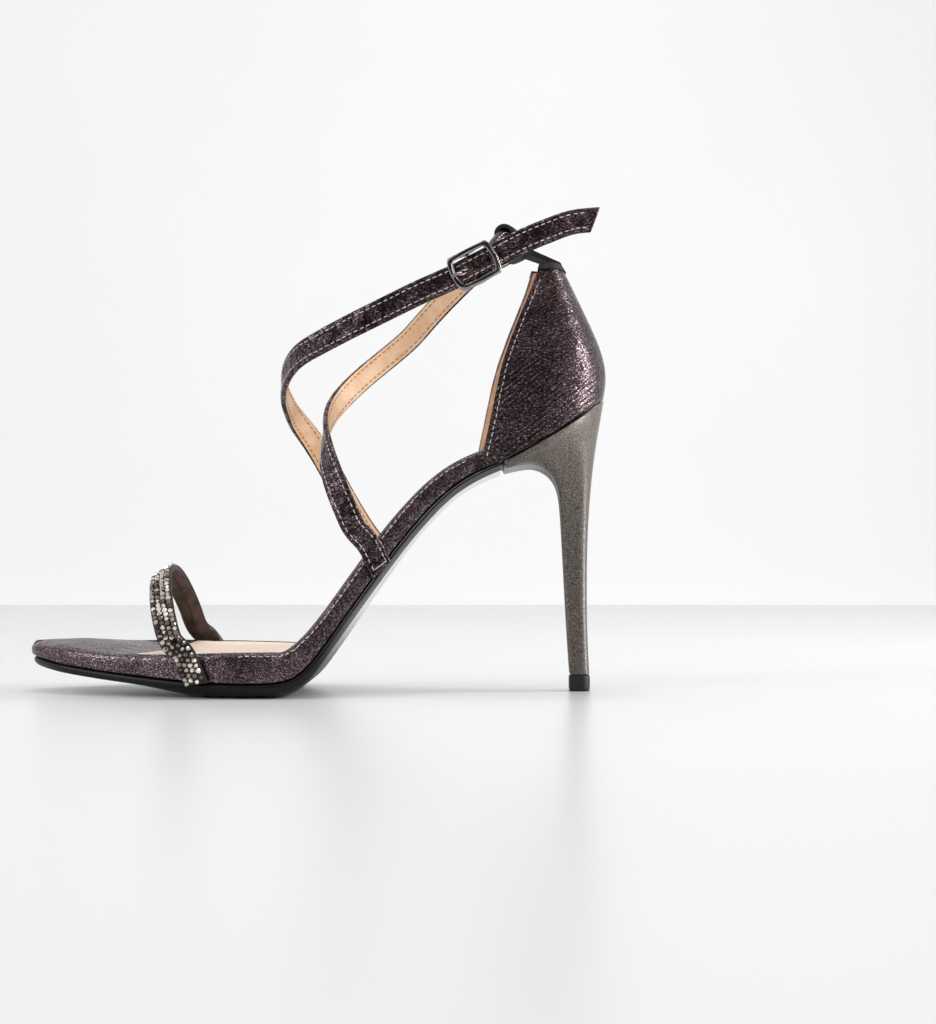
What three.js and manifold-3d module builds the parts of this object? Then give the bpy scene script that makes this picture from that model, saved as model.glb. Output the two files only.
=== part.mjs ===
// A left high-heeled sandal with a jewelled toe strap and two crossing ankle straps.
// Millimetres, +Z up. The toe points to -X and the outer side of the foot to -Y.
// The origin lies on the floor under the middle of the forefoot tread.

import * as THREE from 'three';
import { mergeVertices } from 'three/addons/utils/BufferGeometryUtils.js';
import Module from 'manifold-3d';

const wasm = await Module();
wasm.setup();

// Named sizes of the whole shoe
const SOLE_RUN = 206;
const TOE_REACH = 81;
const BALL_WIDTH = 76;
const HEEL_RISE = 105;
const TOE_SPRING = 7.8;
const FIT_GAP = 0.3;

// Named sizes of the sole
const OUTSOLE_THICKNESS = 2.8;
const TREAD_THICKNESS = 2.0;
const TREAD_MOST = 2.6;
const TREAD_INSET = 3.5;
const TREAD_FRONT = 0.20;
const TREAD_FULL = 0.32;
const TREAD_END = 0.44;
const TREAD_BACK = 0.52;
const BOARD_THICKNESS = 11;
const BOARD_EDGE_ROUND = 2.4;
const BOARD_DISH = 1.6;
const TOE_CROWN = 1.8;
const SOCK_THICKNESS = 0.8;
const SOCK_MARGIN = 3.9;
const SOCK_CLEARANCE = 0.45;
const SOCK_FRONT_REACH = -40;
const SOCK_FRONT_SLANT = 12;
const TOE_OVERHANG = 1.8;
const TOE_TURN = 0.07;
const TOE_ROUND = 17;
const SEAT_ROUND = 25;

// Named sizes of the heel and its lift
const HEEL_BREAST_REACH = 88;
const HEEL_BREAST_SCOOP = 0.10;
const HEEL_WING = 2.8;
const HEEL_BACK_RAKE = 0.16;
const LIFT_HEIGHT = 5.6;
const LIFT_LENGTH = 7.2;
const LIFT_WIDTH = 8.2;
const LIFT_SETBACK = 8.8;

// Named sizes of the upper
const COUNTER_RISE = 48.5;
const COUNTER_WALL = 2.2;
const COUNTER_TOP_WIDTH = 20;
const COUNTER_REACH = 79.5;
const COUNTER_INNER_LEAD = 2.2;
const STRAP_WIDTH = 8.4;
const STRAP_THICKNESS = 1.7;
const CROSS_STRAP_REACH = 45.6;
const ANKLE_STRAP_REACH = 45.8;
const WAIST_STRAP_SLANT = 2.2;
const WAIST_END_SLANT = 2.6;
const WAIST_END_REACH = 1.6;
const BAND_CLEARANCE = 0.5;
const TAIL_LENGTH = 44.7;
const TAIL_SLANT = 4.6;
const TOE_STRAP_WIDTH = 8.2;
const TOE_STRAP_THICKNESS = 2.0;
const TOE_STRAP_OUTER_REACH = -16.6;
const TOE_STRAP_INNER_REACH = -22.5;
const TOE_STRAP_SLANT = 5.5;
const TOE_END_SLANT = 2.4;
const TOE_END_REACH = 0.9;
const TOE_ARCH_HEIGHT = 44;

// Named sizes of the tunnel at the top of the counter that the ankle strap runs through
const TUNNEL_WIDTH = 21;
const TUNNEL_WALL = 1.3;
const TUNNEL_LENGTH = 12.6;
const TUNNEL_DEPTH = 7.4;
const TUNNEL_LEAN = 48;
const TUNNEL_CURVE = 22;
const TUNNEL_FORWARD = 17.0;
const TUNNEL_RISE = 7.7;
const TUNNEL_APRON_WIDTH = 15;
const TUNNEL_STRAP_UP = 0.2;
const TUNNEL_STRAP_FORWARD = 0.3;

// Named sizes of the buckle
const BUCKLE_LENGTH = 15;
const BUCKLE_BOW = 1.3;
const BUCKLE_BAR = 1.7;
const BUCKLE_THICKNESS = 1.3;
const BUCKLE_SIDE_CLEARANCE = 0.45;
const BUCKLE_TILT = 27.5;
const BUCKLE_REACH = 78;
const BUCKLE_OUT = 0.4145;
const BUCKLE_DROP = 5.6;
const HINGE_BAR = 0.9;
const HINGE_PLY = 0.7;
const PRONG_THICKNESS = 1.1;
const PRONG_EYE_WALL = 0.65;
const PRONG_HOLE_REACH = 4.7;
const HOLE_PITCH = 10.1;
const HOLE_WIDTH = 1.8;

// The leather-covered board stands on this much outsole and tread at the ball
const BALL_RISE = OUTSOLE_THICKNESS + TREAD_THICKNESS;
const CLIMB = HEEL_RISE - BALL_RISE;
const UPPER_HEIGHT = HEEL_RISE + COUNTER_RISE;

// The sole from toe tip to seat. along is a share of the run, spring of the toe spring, climb of
// the rise to the seat, outer and inner of the ball width, board of the board thickness, and cant is
// how much higher the board is along its inner edge, as a share of its thickness.
const SOLE_ROWS = [
  { along: 0.000, spring: 1.00, climb: 0.000, outer: 0.140, inner: 0.225, board: 0.500, cant: 0.08 },
  { along: 0.073, spring: 0.69, climb: 0.000, outer: 0.225, inner: 0.300, board: 0.570, cant: 0.12 },
  { along: 0.150, spring: 0.44, climb: 0.000, outer: 0.320, inner: 0.380, board: 0.610, cant: 0.20 },
  { along: 0.223, spring: 0.26, climb: 0.000, outer: 0.400, inner: 0.440, board: 0.720, cant: 0.22 },
  { along: 0.296, spring: 0.10, climb: 0.000, outer: 0.460, inner: 0.475, board: 0.870, cant: 0.14 },
  { along: 0.369, spring: 0.00, climb: 0.000, outer: 0.500, inner: 0.485, board: 1.000, cant: 0.06 },
  { along: 0.432, spring: 0.00, climb: 0.002, outer: 0.507, inner: 0.460, board: 1.000, cant: 0.02 },
  { along: 0.466, spring: 0.00, climb: 0.014, outer: 0.495, inner: 0.430, board: 0.940, cant: 0.00 },
  { along: 0.490, spring: 0.00, climb: 0.046, outer: 0.478, inner: 0.400, board: 0.860, cant: 0.00 },
  { along: 0.519, spring: 0.00, climb: 0.118, outer: 0.448, inner: 0.365, board: 0.730, cant: 0.00 },
  { along: 0.553, spring: 0.00, climb: 0.218, outer: 0.405, inner: 0.330, board: 0.665, cant: 0.00 },
  { along: 0.592, spring: 0.00, climb: 0.332, outer: 0.360, inner: 0.298, board: 0.665, cant: 0.00 },
  { along: 0.636, spring: 0.00, climb: 0.457, outer: 0.325, inner: 0.272, board: 0.680, cant: 0.00 },
  { along: 0.684, spring: 0.00, climb: 0.577, outer: 0.306, inner: 0.265, board: 0.675, cant: 0.00 },
  { along: 0.733, spring: 0.00, climb: 0.675, outer: 0.306, inner: 0.272, board: 0.655, cant: 0.00 },
  { along: 0.777, spring: 0.00, climb: 0.730, outer: 0.318, inner: 0.290, board: 0.625, cant: 0.00 },
  { along: 0.820, spring: 0.00, climb: 0.768, outer: 0.332, inner: 0.315, board: 0.580, cant: 0.00 },
  { along: 0.880, spring: 0.00, climb: 0.834, outer: 0.346, inner: 0.340, board: 0.560, cant: 0.00 },
  { along: 0.940, spring: 0.00, climb: 0.909, outer: 0.345, inner: 0.345, board: 0.560, cant: 0.00 },
  { along: 1.000, spring: 0.00, climb: 1.000, outer: 0.335, inner: 0.335, board: 0.560, cant: 0.00 },
];

// The heel above its lift, up to the row under the seat. front and back are shares of the sole run
// from the toe, the rises are shares of the way from lift to seat for the two ends of a section,
// width is a share of the seat width and round the share of a section that its back arc takes.
const HEEL_ROWS = [
  { front: 0.9345, frontRise: 0.150, back: 0.9705, backRise: 0.150, width: 0.160, round: 0.36 },
  { front: 0.9300, frontRise: 0.330, back: 0.9700, backRise: 0.330, width: 0.170, round: 0.36 },
  { front: 0.9262, frontRise: 0.480, back: 0.9710, backRise: 0.480, width: 0.200, round: 0.36 },
  { front: 0.9235, frontRise: 0.590, back: 0.9740, backRise: 0.600, width: 0.262, round: 0.38 },
  { front: 0.9205, frontRise: 0.655, back: 0.9777, backRise: 0.690, width: 0.350, round: 0.41 },
  { front: 0.9135, frontRise: 0.700, back: 0.9815, backRise: 0.765, width: 0.475, round: 0.45 },
  { front: 0.8985, frontRise: 0.737, back: 0.9868, backRise: 0.840, width: 0.635, round: 0.50 },
  { front: 0.8750, frontRise: 0.757, back: 0.9925, backRise: 0.905, width: 0.810, round: 0.56 },
];

// The counter above its seam on the seat. front and back are shares of the sole run from the toe,
// the rises are shares of the counter's height above the back of the seat, and narrow goes from
// the seat's width to the width of the top.
const COUNTER_ROWS = [
  { front: 0.7880, frontRise: -0.392, back: 1.0030, backRise: 0.080, narrow: -0.040 },
  { front: 0.7990, frontRise: -0.180, back: 1.0045, backRise: 0.175, narrow: -0.045 },
  { front: 0.8090, frontRise: 0.030, back: 1.0010, backRise: 0.285, narrow: 0.030 },
  { front: 0.8195, frontRise: 0.240, back: 0.9915, backRise: 0.405, narrow: 0.165 },
  { front: 0.8360, frontRise: 0.430, back: 0.9775, backRise: 0.540, narrow: 0.390 },
  { front: 0.8530, frontRise: 0.620, back: 0.9605, backRise: 0.685, narrow: 0.620 },
  { front: 0.8720, frontRise: 0.800, back: 0.9430, backRise: 0.845, narrow: 0.825 },
  { front: 0.8855, frontRise: 0.985, back: 0.9270, backRise: 0.970, narrow: 1.000 },
];

// The strap that crosses in front of the ankle, from above the board on the inner side up to the
// buckle. along is a share of the sole run from the origin, across of the ball width and height
// of the upper's height. face turns the outer side of the strap, from the heel at 0 by the inner
// side of the foot at 90 to the toe at 180, and lean tips it up.
const CROSS_ROWS = [
  { along: 0.1790, across: 0.336, height: 0.3805, face: 94, lean: 4 },
  { along: 0.1445, across: 0.375, height: 0.4547, face: 100, lean: 6 },
  { along: 0.1045, across: 0.382, height: 0.5531, face: 108, lean: 8 },
  { along: 0.0816, across: 0.355, height: 0.6026, face: 116, lean: 6 },
  { along: 0.0578, across: 0.263, height: 0.6476, face: 134, lean: 3 },
  { along: 0.0481, across: 0.132, height: 0.6775, face: 156, lean: 1 },
  { along: 0.0451, across: 0.000, height: 0.7068, face: 176, lean: 0 },
  { along: 0.0560, across: -0.145, height: 0.7420, face: 210, lean: 4 },
  { along: 0.0830, across: -0.275, height: 0.7740, face: 238, lean: 6 },
  { along: 0.1189, across: -0.335, height: 0.7980, face: 253, lean: 5 },
  { along: 0.1700, across: -0.378, height: 0.8310, face: 262, lean: 3 },
  { along: 0.2300, across: -0.402, height: 0.8690, face: 267, lean: 1 },
  { along: 0.2883, across: -0.412, height: 0.9065, face: 270, lean: 0 },
];

// The free tail past the buckle. along is a share of its length, lift and inward of its width.
const TAIL_ROWS = [
  { along: 0.30, lift: 0.00, inward: 0.00 },
  { along: 0.55, lift: -0.08, inward: 0.06 },
  { along: 0.80, lift: -0.22, inward: 0.18 },
  { along: 1.00, lift: -0.54, inward: 0.34 },
];

// The strap that runs from the outer side over the instep, along the inner side of the ankle and
// round its back, in the columns of the crossing strap.
const ANKLE_ROWS = [
  { along: 0.1770, across: -0.378, height: 0.382, face: 266, lean: 6 },
  { along: 0.1660, across: -0.380, height: 0.415, face: 260, lean: 7 },
  { along: 0.1530, across: -0.372, height: 0.455, face: 253, lean: 7 },
  { along: 0.1420, across: -0.345, height: 0.493, face: 244, lean: 6 },
  { along: 0.1320, across: -0.290, height: 0.531, face: 232, lean: 4 },
  { along: 0.1245, across: -0.200, height: 0.569, face: 214, lean: 2 },
  { along: 0.1205, across: -0.085, height: 0.603, face: 192, lean: 0 },
  { along: 0.1210, across: 0.040, height: 0.636, face: 165, lean: 0 },
  { along: 0.1290, across: 0.160, height: 0.670, face: 140, lean: 2 },
  { along: 0.1500, across: 0.268, height: 0.713, face: 120, lean: 4 },
  { along: 0.1820, across: 0.345, height: 0.759, face: 106, lean: 4 },
  { along: 0.2200, across: 0.392, height: 0.804, face: 98, lean: 2 },
  { along: 0.2600, across: 0.408, height: 0.851, face: 92, lean: 0 },
  { along: 0.3000, across: 0.408, height: 0.911, face: 88, lean: 0 },
  { along: 0.3354, across: 0.385, height: 0.959, face: 84, lean: 2 },
  { along: 0.3738, across: 0.342, height: 1.0046, face: 74, lean: 6 },
  { along: 0.4078, across: 0.270, height: 1.031, face: 60, lean: 14 },
  { along: 0.4393, across: 0.171, height: 1.046, face: 38, lean: 30 },
];

// The ankle strap's last stretch to the hinge bar, in shares of the buckle's length: along it, up
// across it and behind the hinge bar.
const HINGE_ROWS = [
  { along: 0.767, up: 0.220, behind: 0.627, face: -50, lean: 22 },
  { along: 0.467, up: 0.027, behind: 0.147, face: -74, lean: 6 },
  { along: 0.067, up: 0.000, behind: 0.000, face: -90, lean: 0 },
];

// The toe strap over the toes, from the outer side to the inner side. along is a share of the
// sole run from the origin, across of the ball width and height of the arch height. lean turns
// the outer side of the strap from the outer side of the foot at 0 over the top at 90, and forward
// tips it to the toe.
const TOE_ROWS = [
  { along: -0.1200, across: -0.482, height: 0.430, lean: 12, forward: 0.05 },
  { along: -0.1370, across: -0.420, height: 0.615, lean: 30, forward: 0.15 },
  { along: -0.1510, across: -0.295, height: 0.825, lean: 50, forward: 0.35 },
  { along: -0.1585, across: -0.135, height: 0.950, lean: 72, forward: 0.55 },
  { along: -0.1570, across: 0.035, height: 0.970, lean: 92, forward: 0.60 },
  { along: -0.1500, across: 0.190, height: 0.865, lean: 118, forward: 0.40 },
  { along: -0.1400, across: 0.325, height: 0.680, lean: 140, forward: 0.20 },
  { along: -0.1290, across: 0.440, height: 0.470, lean: 160, forward: 0.08 },
];

const RAD = Math.PI / 180;
const lerp = THREE.MathUtils.lerp;
const smoothstep = THREE.MathUtils.smoothstep;
const range = (count) => Array.from({ length: count }, (_, i) => i);

// A smooth column of a table, with no overshoot between its rows
function column(rows, key, by = 'along') {
  const n = rows.length;
  const x = rows.map((row) => row[by]);
  const y = rows.map((row) => row[key]);
  const slope = range(n - 1).map((i) => (y[i + 1] - y[i]) / (x[i + 1] - x[i]));
  const tangent = range(n).map((i) => {
    if (i === 0) return slope[0];
    if (i === n - 1) return slope[n - 2];
    if (slope[i - 1] * slope[i] <= 0) return 0;
    const before = x[i] - x[i - 1];
    const after = x[i + 1] - x[i];
    const w1 = 2 * after + before;
    const w2 = after + 2 * before;
    return (w1 + w2) / (w1 / slope[i - 1] + w2 / slope[i]);
  });
  return (at) => {
    if (at <= x[0]) return y[0] + tangent[0] * (at - x[0]);
    if (at >= x[n - 1]) return y[n - 1] + tangent[n - 1] * (at - x[n - 1]);
    let i = 0;
    while (at > x[i + 1]) i += 1;
    const h = x[i + 1] - x[i];
    const t = (at - x[i]) / h;
    const t2 = t * t;
    const t3 = t2 * t;
    return (2 * t3 - 3 * t2 + 1) * y[i] + (t3 - 2 * t2 + t) * h * tangent[i]
      + (3 * t2 - 2 * t3) * y[i + 1] + (t3 - t2) * h * tangent[i + 1];
  };
}

const springAt = column(SOLE_ROWS, 'spring');
const climbAt = column(SOLE_ROWS, 'climb');
const outerAt = column(SOLE_ROWS, 'outer');
const innerAt = column(SOLE_ROWS, 'inner');
const boardAt = column(SOLE_ROWS, 'board');
const cantAt = column(SOLE_ROWS, 'cant');

// The feather line, where the covered board meets the outsole, seen from the side
const featherX = (share) => share * SOLE_RUN - TOE_REACH;
const liftReach = featherX(1) - LIFT_SETBACK;
const featherZ = (share) => BALL_RISE + springAt(share) * TOE_SPRING + climbAt(share) * CLIMB;
const shareAtX = (x) => (x + TOE_REACH) / SOLE_RUN;

function featherSlope(share) {
  const step = 0.012;
  return (featherZ(share + step) - featherZ(share - step)) / (2 * step * SOLE_RUN);
}

// Length along the feather line, and back again
const LENGTH_STEPS = 400;
const lengthTable = [0];
for (let i = 1; i <= LENGTH_STEPS; i += 1) {
  const rise = featherZ(i / LENGTH_STEPS) - featherZ((i - 1) / LENGTH_STEPS);
  lengthTable.push(lengthTable[i - 1] + Math.hypot(SOLE_RUN / LENGTH_STEPS, rise));
}

function lengthAt(share) {
  const at = THREE.MathUtils.clamp(share, 0, 1) * LENGTH_STEPS;
  const i = Math.min(Math.floor(at), LENGTH_STEPS - 1);
  return lerp(lengthTable[i], lengthTable[i + 1], at - i);
}

function shareAtLength(length) {
  let i = 0;
  while (i < LENGTH_STEPS - 1 && lengthTable[i + 1] < length) i += 1;
  const part = (length - lengthTable[i]) / (lengthTable[i + 1] - lengthTable[i]);
  return (i + part) / LENGTH_STEPS;
}

// A point of the sole: share along it, y across it, height square to the feather line
function solePoint(share, y, height) {
  const slope = featherSlope(share);
  const norm = Math.hypot(1, slope);
  return new THREE.Vector3(
    featherX(share) - (height * slope) / norm,
    y,
    featherZ(share) + height / norm,
  );
}

// Edges of the sole across it, rounded at the toe and at the seat. seatIn draws the seat's end in.
function outline(share, seatIn = 0) {
  const fromToe = share * SOLE_RUN;
  const fromSeat = Math.max((1 - share) * SOLE_RUN - seatIn, 0);
  const round = (distance, radius) => {
    const t = 1 - Math.min(distance / radius, 1);
    return Math.sqrt(Math.max(1 - t * t, 0));
  };
  const fullness = round(fromToe, TOE_ROUND) * round(fromSeat, SEAT_ROUND);
  const middle = ((innerAt(share) - outerAt(share)) / 2) * BALL_WIDTH;
  const half = ((innerAt(share) + outerAt(share)) / 2) * BALL_WIDTH * fullness;
  return { outer: middle - half, inner: middle + half };
}

// Stations along the sole, closer together at the two rounded ends and at the bend
function stations(from, to, seatIn) {
  const shares = [];
  const toeTurns = [5, 18, 32, 47, 62, 76];
  toeTurns.forEach((turn) => shares.push(((1 - Math.cos(turn * RAD)) * TOE_ROUND) / SOLE_RUN));
  const toeEnd = TOE_ROUND / SOLE_RUN;
  const seatStart = 1 - (SEAT_ROUND + seatIn) / SOLE_RUN;
  const bendStart = 0.43;
  const bendEnd = 0.60;
  const stretches = [[toeEnd, bendStart, 9], [bendStart, bendEnd, 13], [bendEnd, seatStart, 9]];
  stretches.forEach(([start, end, count]) => {
    range(count).forEach((i) => shares.push(lerp(start, end, i / count)));
  });
  const seatTurns = [90, 76, 62, 48, 34, 20, 6];
  seatTurns.forEach((turn) => {
    shares.push(1 - (seatIn + (1 - Math.cos(turn * RAD)) * SEAT_ROUND) / SOLE_RUN);
  });
  const inside = shares.filter((share) => share > from + 0.004 && share < to - 0.004);
  const first = from > shares[0] ? [from] : [shares[0]];
  const last = to < shares[shares.length - 1] ? [to] : [shares[shares.length - 1]];
  return [...first, ...inside.filter((s) => s > first[0] && s < last[0]), ...last];
}

// A mesh from points and faces, turned so that its faces point out
function closedMesh(points, faces) {
  const at = (i) => points[i];
  let volume = 0;
  faces.forEach(([a, b, c]) => {
    volume += at(a).dot(new THREE.Vector3().crossVectors(at(b), at(c))) / 6;
  });
  const turned = volume < 0 ? faces.map(([a, b, c]) => [a, c, b]) : faces;
  const geometry = new THREE.BufferGeometry();
  geometry.setAttribute('position', new THREE.Float32BufferAttribute(points.flatMap((p) => p.toArray()), 3));
  geometry.setIndex(turned.flat());
  return geometry;
}

// Joins and cuts of closed shapes
function solidOf(geometry) {
  const bare = geometry.clone();
  bare.deleteAttribute('normal');
  bare.deleteAttribute('uv');
  const merged = mergeVertices(bare, 1e-4);
  return new wasm.Manifold(new wasm.Mesh({
    numProp: 3,
    vertProperties: merged.attributes.position.array,
    triVerts: Uint32Array.from(merged.index.array),
  }));
}

function geometryOf(solid) {
  const mesh = solid.getMesh();
  const geometry = new THREE.BufferGeometry();
  geometry.setAttribute('position', new THREE.BufferAttribute(mesh.vertProperties, 3));
  geometry.setIndex(new THREE.BufferAttribute(mesh.triVerts, 1));
  return geometry;
}

// One layer of the sole. Its outline may be moved in by edge(share, side), and its edge follows a
// profile of rings, each with an inset, what drawn(share) adds to it, and a height over the feather.
function soleLayer({ from = 0, to = 1, across = 6, edge = () => 0, seatIn = 0, rings, frontSlant = 0 }) {
  const shares = stations(from, to, seatIn);
  const n = shares.length;
  const grid = shares.map((share, i) => {
    const slant = (part) => frontSlant * (1 - i / (n - 1)) ** 4 * part;
    return range(across + 1).map((j) => {
      const part = j / across;
      const length = lengthAt(share) + slant(part);
      const at = frontSlant ? shareAtLength(length) : share;
      const { outer, inner } = outline(at, seatIn);
      const moved = (side) => Math.min(edge(at, side), (inner - outer) / 2 - 1);
      return new THREE.Vector2(length, lerp(outer + moved(-1), inner - moved(1), part));
    });
  });
  const border = [];
  range(n).forEach((i) => border.push([i, 0]));
  range(across - 1).forEach((j) => border.push([n - 1, j + 1]));
  range(n).forEach((i) => border.push([n - 1 - i, across]));
  range(across - 1).forEach((j) => border.push([0, across - 1 - j]));
  const edgePoints = border.map(([i, j]) => grid[i][j]);
  const count = edgePoints.length;
  const inward = edgePoints.map((point, k) => {
    const before = edgePoints[(k + count - 1) % count];
    const after = edgePoints[(k + 1) % count];
    const along = after.clone().sub(before).normalize();
    return new THREE.Vector2(-along.y, along.x);
  });
  const place = (flat, ring) => {
    const share = shareAtLength(flat.x);
    return solePoint(share, flat.y, ring.height(share, flat.y));
  };
  const points = [];
  const faces = [];
  const moveIn = (k, ring) => {
    const [i] = border[k];
    const extra = ring.drawn ? ring.drawn(shares[i]) : 0;
    return edgePoints[k].clone().addScaledVector(inward[k], ring.inset + extra);
  };
  const ringStart = rings.map((ring) => {
    const start = points.length;
    edgePoints.forEach((point, k) => points.push(place(moveIn(k, ring), ring)));
    return start;
  });
  range(rings.length - 1).forEach((r) => {
    range(count).forEach((k) => {
      const next = (k + 1) % count;
      const a = ringStart[r] + k;
      const b = ringStart[r] + next;
      const c = ringStart[r + 1] + next;
      const d = ringStart[r + 1] + k;
      faces.push([a, b, c], [a, c, d]);
    });
  });
  const fill = (ring, start, flip) => {
    const flats = edgePoints.map((point, k) => moveIn(k, ring));
    const borderIndex = new Map(border.map(([i, j], k) => [`${i},${j}`, k]));
    const index = range(n).map((i) => range(across + 1).map((j) => {
      const onBorder = borderIndex.get(`${i},${j}`);
      if (onBorder !== undefined) return start + onBorder;
      const low = flats[borderIndex.get(`${i},0`)];
      const high = flats[borderIndex.get(`${i},${across}`)];
      const part = j / across;
      points.push(place(low.clone().lerp(high, part), ring));
      return points.length - 1;
    }));
    range(n - 1).forEach((i) => range(across).forEach((j) => {
      const a = index[i][j];
      const b = index[i][j + 1];
      const c = index[i + 1][j + 1];
      const d = index[i + 1][j];
      if (flip) faces.push([a, b, c], [a, c, d]);
      else faces.push([a, c, b], [a, d, c]);
    }));
  };
  fill(rings[0], ringStart[0], true);
  fill(rings[rings.length - 1], ringStart[rings.length - 1], false);
  return closedMesh(points, faces);
}

// Closes a stack of equal rings into one body. A ring with rungs = n has its first n points on one
// side, one at the end, and n mirrored on the other side, and its ends are closed across them.
function stack(rows, rungs = 0) {
  const count = rows[0].length;
  const points = rows.flat();
  const faces = [];
  range(rows.length - 1).forEach((r) => range(count).forEach((k) => {
    const next = (k + 1) % count;
    const a = r * count + k;
    const b = r * count + next;
    faces.push([a, b, b + count], [a, b + count, a + count]);
  }));
  const capAcross = (start, flip) => {
    const far = 2 * rungs;
    const put = (a, b, c) => {
      const [second, third] = flip ? [c, b] : [b, c];
      faces.push([start + a, start + second, start + third]);
    };
    for (let k = 1; k < rungs - 1; k += 1) {
      put(k, k + 1, far - k - 1);
      put(k, far - k - 1, far - k);
    }
    put(rungs - 1, rungs, rungs + 1);
    for (let k = far - 1; k < count - 1; k += 1) put(1, k, k + 1);
    put(1, count - 1, 0);
  };
  const cap = (start, flip) => {
    if (rungs) {
      capAcross(start, flip);
      return;
    }
    const middle = new THREE.Vector3();
    range(count).forEach((k) => middle.addScaledVector(points[start + k], 1 / count));
    points.push(middle);
    const centre = points.length - 1;
    range(count).forEach((k) => {
      const next = (k + 1) % count;
      if (flip) faces.push([centre, start + next, start + k]);
      else faces.push([centre, start + k, start + next]);
    });
  };
  cap(0, true);
  cap((rows.length - 1) * count, false);
  return closedMesh(points, faces);
}

// The heights of the layers over the feather line. The board's top is dished towards its middle.
const halfGap = FIT_GAP / 2;
const boardTop = (share, y = 0) => {
  const { outer, inner } = outline(share);
  const toInner = THREE.MathUtils.clamp((y - outer) / (inner - outer), 0, 1);
  return (boardAt(share) + cantAt(share) * toInner) * BOARD_THICKNESS;
};
const seatInset = COUNTER_WALL + 2 * FIT_GAP;
const sockStart = shareAtX(SOCK_FRONT_REACH);

function footbed(share, y) {
  const { outer, inner } = outline(share);
  const half = Math.max((inner - outer) / 2 - BOARD_EDGE_ROUND, 1);
  const bow = Math.max(1 - ((y - (inner + outer) / 2) / half) ** 2, 0);
  const fromFront = smoothstep(share * SOLE_RUN, BOARD_EDGE_ROUND, TOE_ROUND);
  const dish = lerp(-TOE_CROWN * fromFront, BOARD_DISH, smoothstep(share, 0.10, 0.28));
  const recess = (SOCK_THICKNESS + SOCK_CLEARANCE) * smoothstep(share, sockStart - 0.03, sockStart - 0.005);
  return boardTop(share, y) - recess - dish * bow;
}

// Where the counter covers the board's side, the board is drawn in by its wall
const counterStart = shareAtX(COUNTER_REACH);
const drawIn = (share, side) => {
  const end = counterStart - (FIT_GAP + (side > 0 ? COUNTER_INNER_LEAD : 0)) / SOLE_RUN;
  return seatInset * smoothstep(share, end - 0.011, end);
};

// The wrapped board stands out over the outsole round the toe
const toeOut = (part) => (share) => -part * TOE_OVERHANG * (1 - smoothstep(share, 0, TOE_TURN));
const underTop = (part) => (share, y) => boardTop(share, y) - part * BOARD_EDGE_ROUND;

function makePlatform() {
  return soleLayer({
    edge: drawIn,
    seatIn: seatInset,
    rings: [
      { inset: 0.5, height: () => halfGap },
      { inset: 0.0, drawn: toeOut(0.7), height: (s, y) => boardTop(s, y) * 0.16 },
      { inset: 0.0, drawn: toeOut(1), height: underTop(0.95) },
      { inset: BOARD_EDGE_ROUND * 0.28, drawn: toeOut(0.8), height: underTop(0.35) },
      { inset: BOARD_EDGE_ROUND, height: underTop(0) },
      { inset: BOARD_EDGE_ROUND + 0.6, height: footbed },
    ],
  });
}

// The sock lies in the dish of the board, with its front edge slanting back to the inner side
function makeSock() {
  const over = (rise) => (share, y) => footbed(share, y) + SOCK_CLEARANCE + rise;
  const inBoard = (share) => seatInset * smoothstep(share, counterStart - 0.055, counterStart - 0.03);
  return soleLayer({
    from: sockStart,
    edge: (share) => SOCK_MARGIN + inBoard(share),
    seatIn: seatInset + SOCK_MARGIN,
    frontSlant: SOCK_FRONT_SLANT,
    rings: [
      { inset: 0, height: over(0) },
      { inset: 0, height: over(SOCK_THICKNESS * 0.6) },
      { inset: SOCK_THICKNESS * 0.6, height: over(SOCK_THICKNESS) },
    ],
  });
}

const breastShare = shareAtX(HEEL_BREAST_REACH);
// How much of the tread the outsole carries there, from none to all of it under the ball, and how
// far it reaches below the plain outsole, which is down to the floor where it carries all of it
const treadAt = (share) => {
  const behindFront = smoothstep(share, TREAD_FRONT, TREAD_FULL);
  return behindFront * (1 - smoothstep(share, TREAD_END, TREAD_BACK));
};
const treadDrop = (share) => treadAt(share) * Math.min(featherZ(share) - OUTSOLE_THICKNESS, TREAD_MOST);

// The outsole ends at the heel's breast and swells under the ball, where it is flat on the floor
function makeOutsole() {
  const toTread = (share) => TREAD_INSET * treadAt(share);
  return soleLayer({
    to: breastShare - (2 * FIT_GAP) / SOLE_RUN,
    rings: [
      { inset: 2.2, drawn: toTread, height: (s) => -OUTSOLE_THICKNESS - treadDrop(s) },
      { inset: 1.4, height: (s) => -OUTSOLE_THICKNESS - treadDrop(s) * 0.35 },
      { inset: 0.4, height: () => -OUTSOLE_THICKNESS * 0.78 },
      { inset: -0.2, height: () => -OUTSOLE_THICKNESS * 0.42 },
      { inset: 0.1, height: () => -halfGap },
    ],
  });
}

// The half width and the place along a section of the heel: a straight side, then the back arc
const SIDE_STEPS = 5;
const ARC_STEPS = 6;
function sideStep(k, round) {
  const straight = 1 - round;
  if (k < SIDE_STEPS) return { part: (straight * k) / SIDE_STEPS, half: 1 };
  const turn = ((k - SIDE_STEPS) / ARC_STEPS) * Math.PI / 2;
  return { part: straight + round * Math.sin(turn), half: Math.cos(turn) };
}

// One ring of the heel from its front and back point and its half width
function heelRing(front, back, half, round, scoop) {
  const ring = [];
  const steps = SIDE_STEPS + ARC_STEPS;
  const put = (part, y) => ring.push(front.clone().lerp(back, part).setY(y));
  for (let k = 0; k < steps; k += 1) {
    const { part, half: share } = sideStep(k, round);
    const corner = k === 0 ? 0.86 : 1;
    put(part, -half * share * corner);
  }
  put(1, 0);
  for (let k = steps - 1; k >= 0; k -= 1) {
    const { part, half: share } = sideStep(k, round);
    const corner = k === 0 ? 0.86 : 1;
    put(part, half * share * corner);
  }
  [0.5, 0, -0.5].forEach((across) => put(scoop * (1 - across * across), half * across));
  return ring;
}

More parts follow.
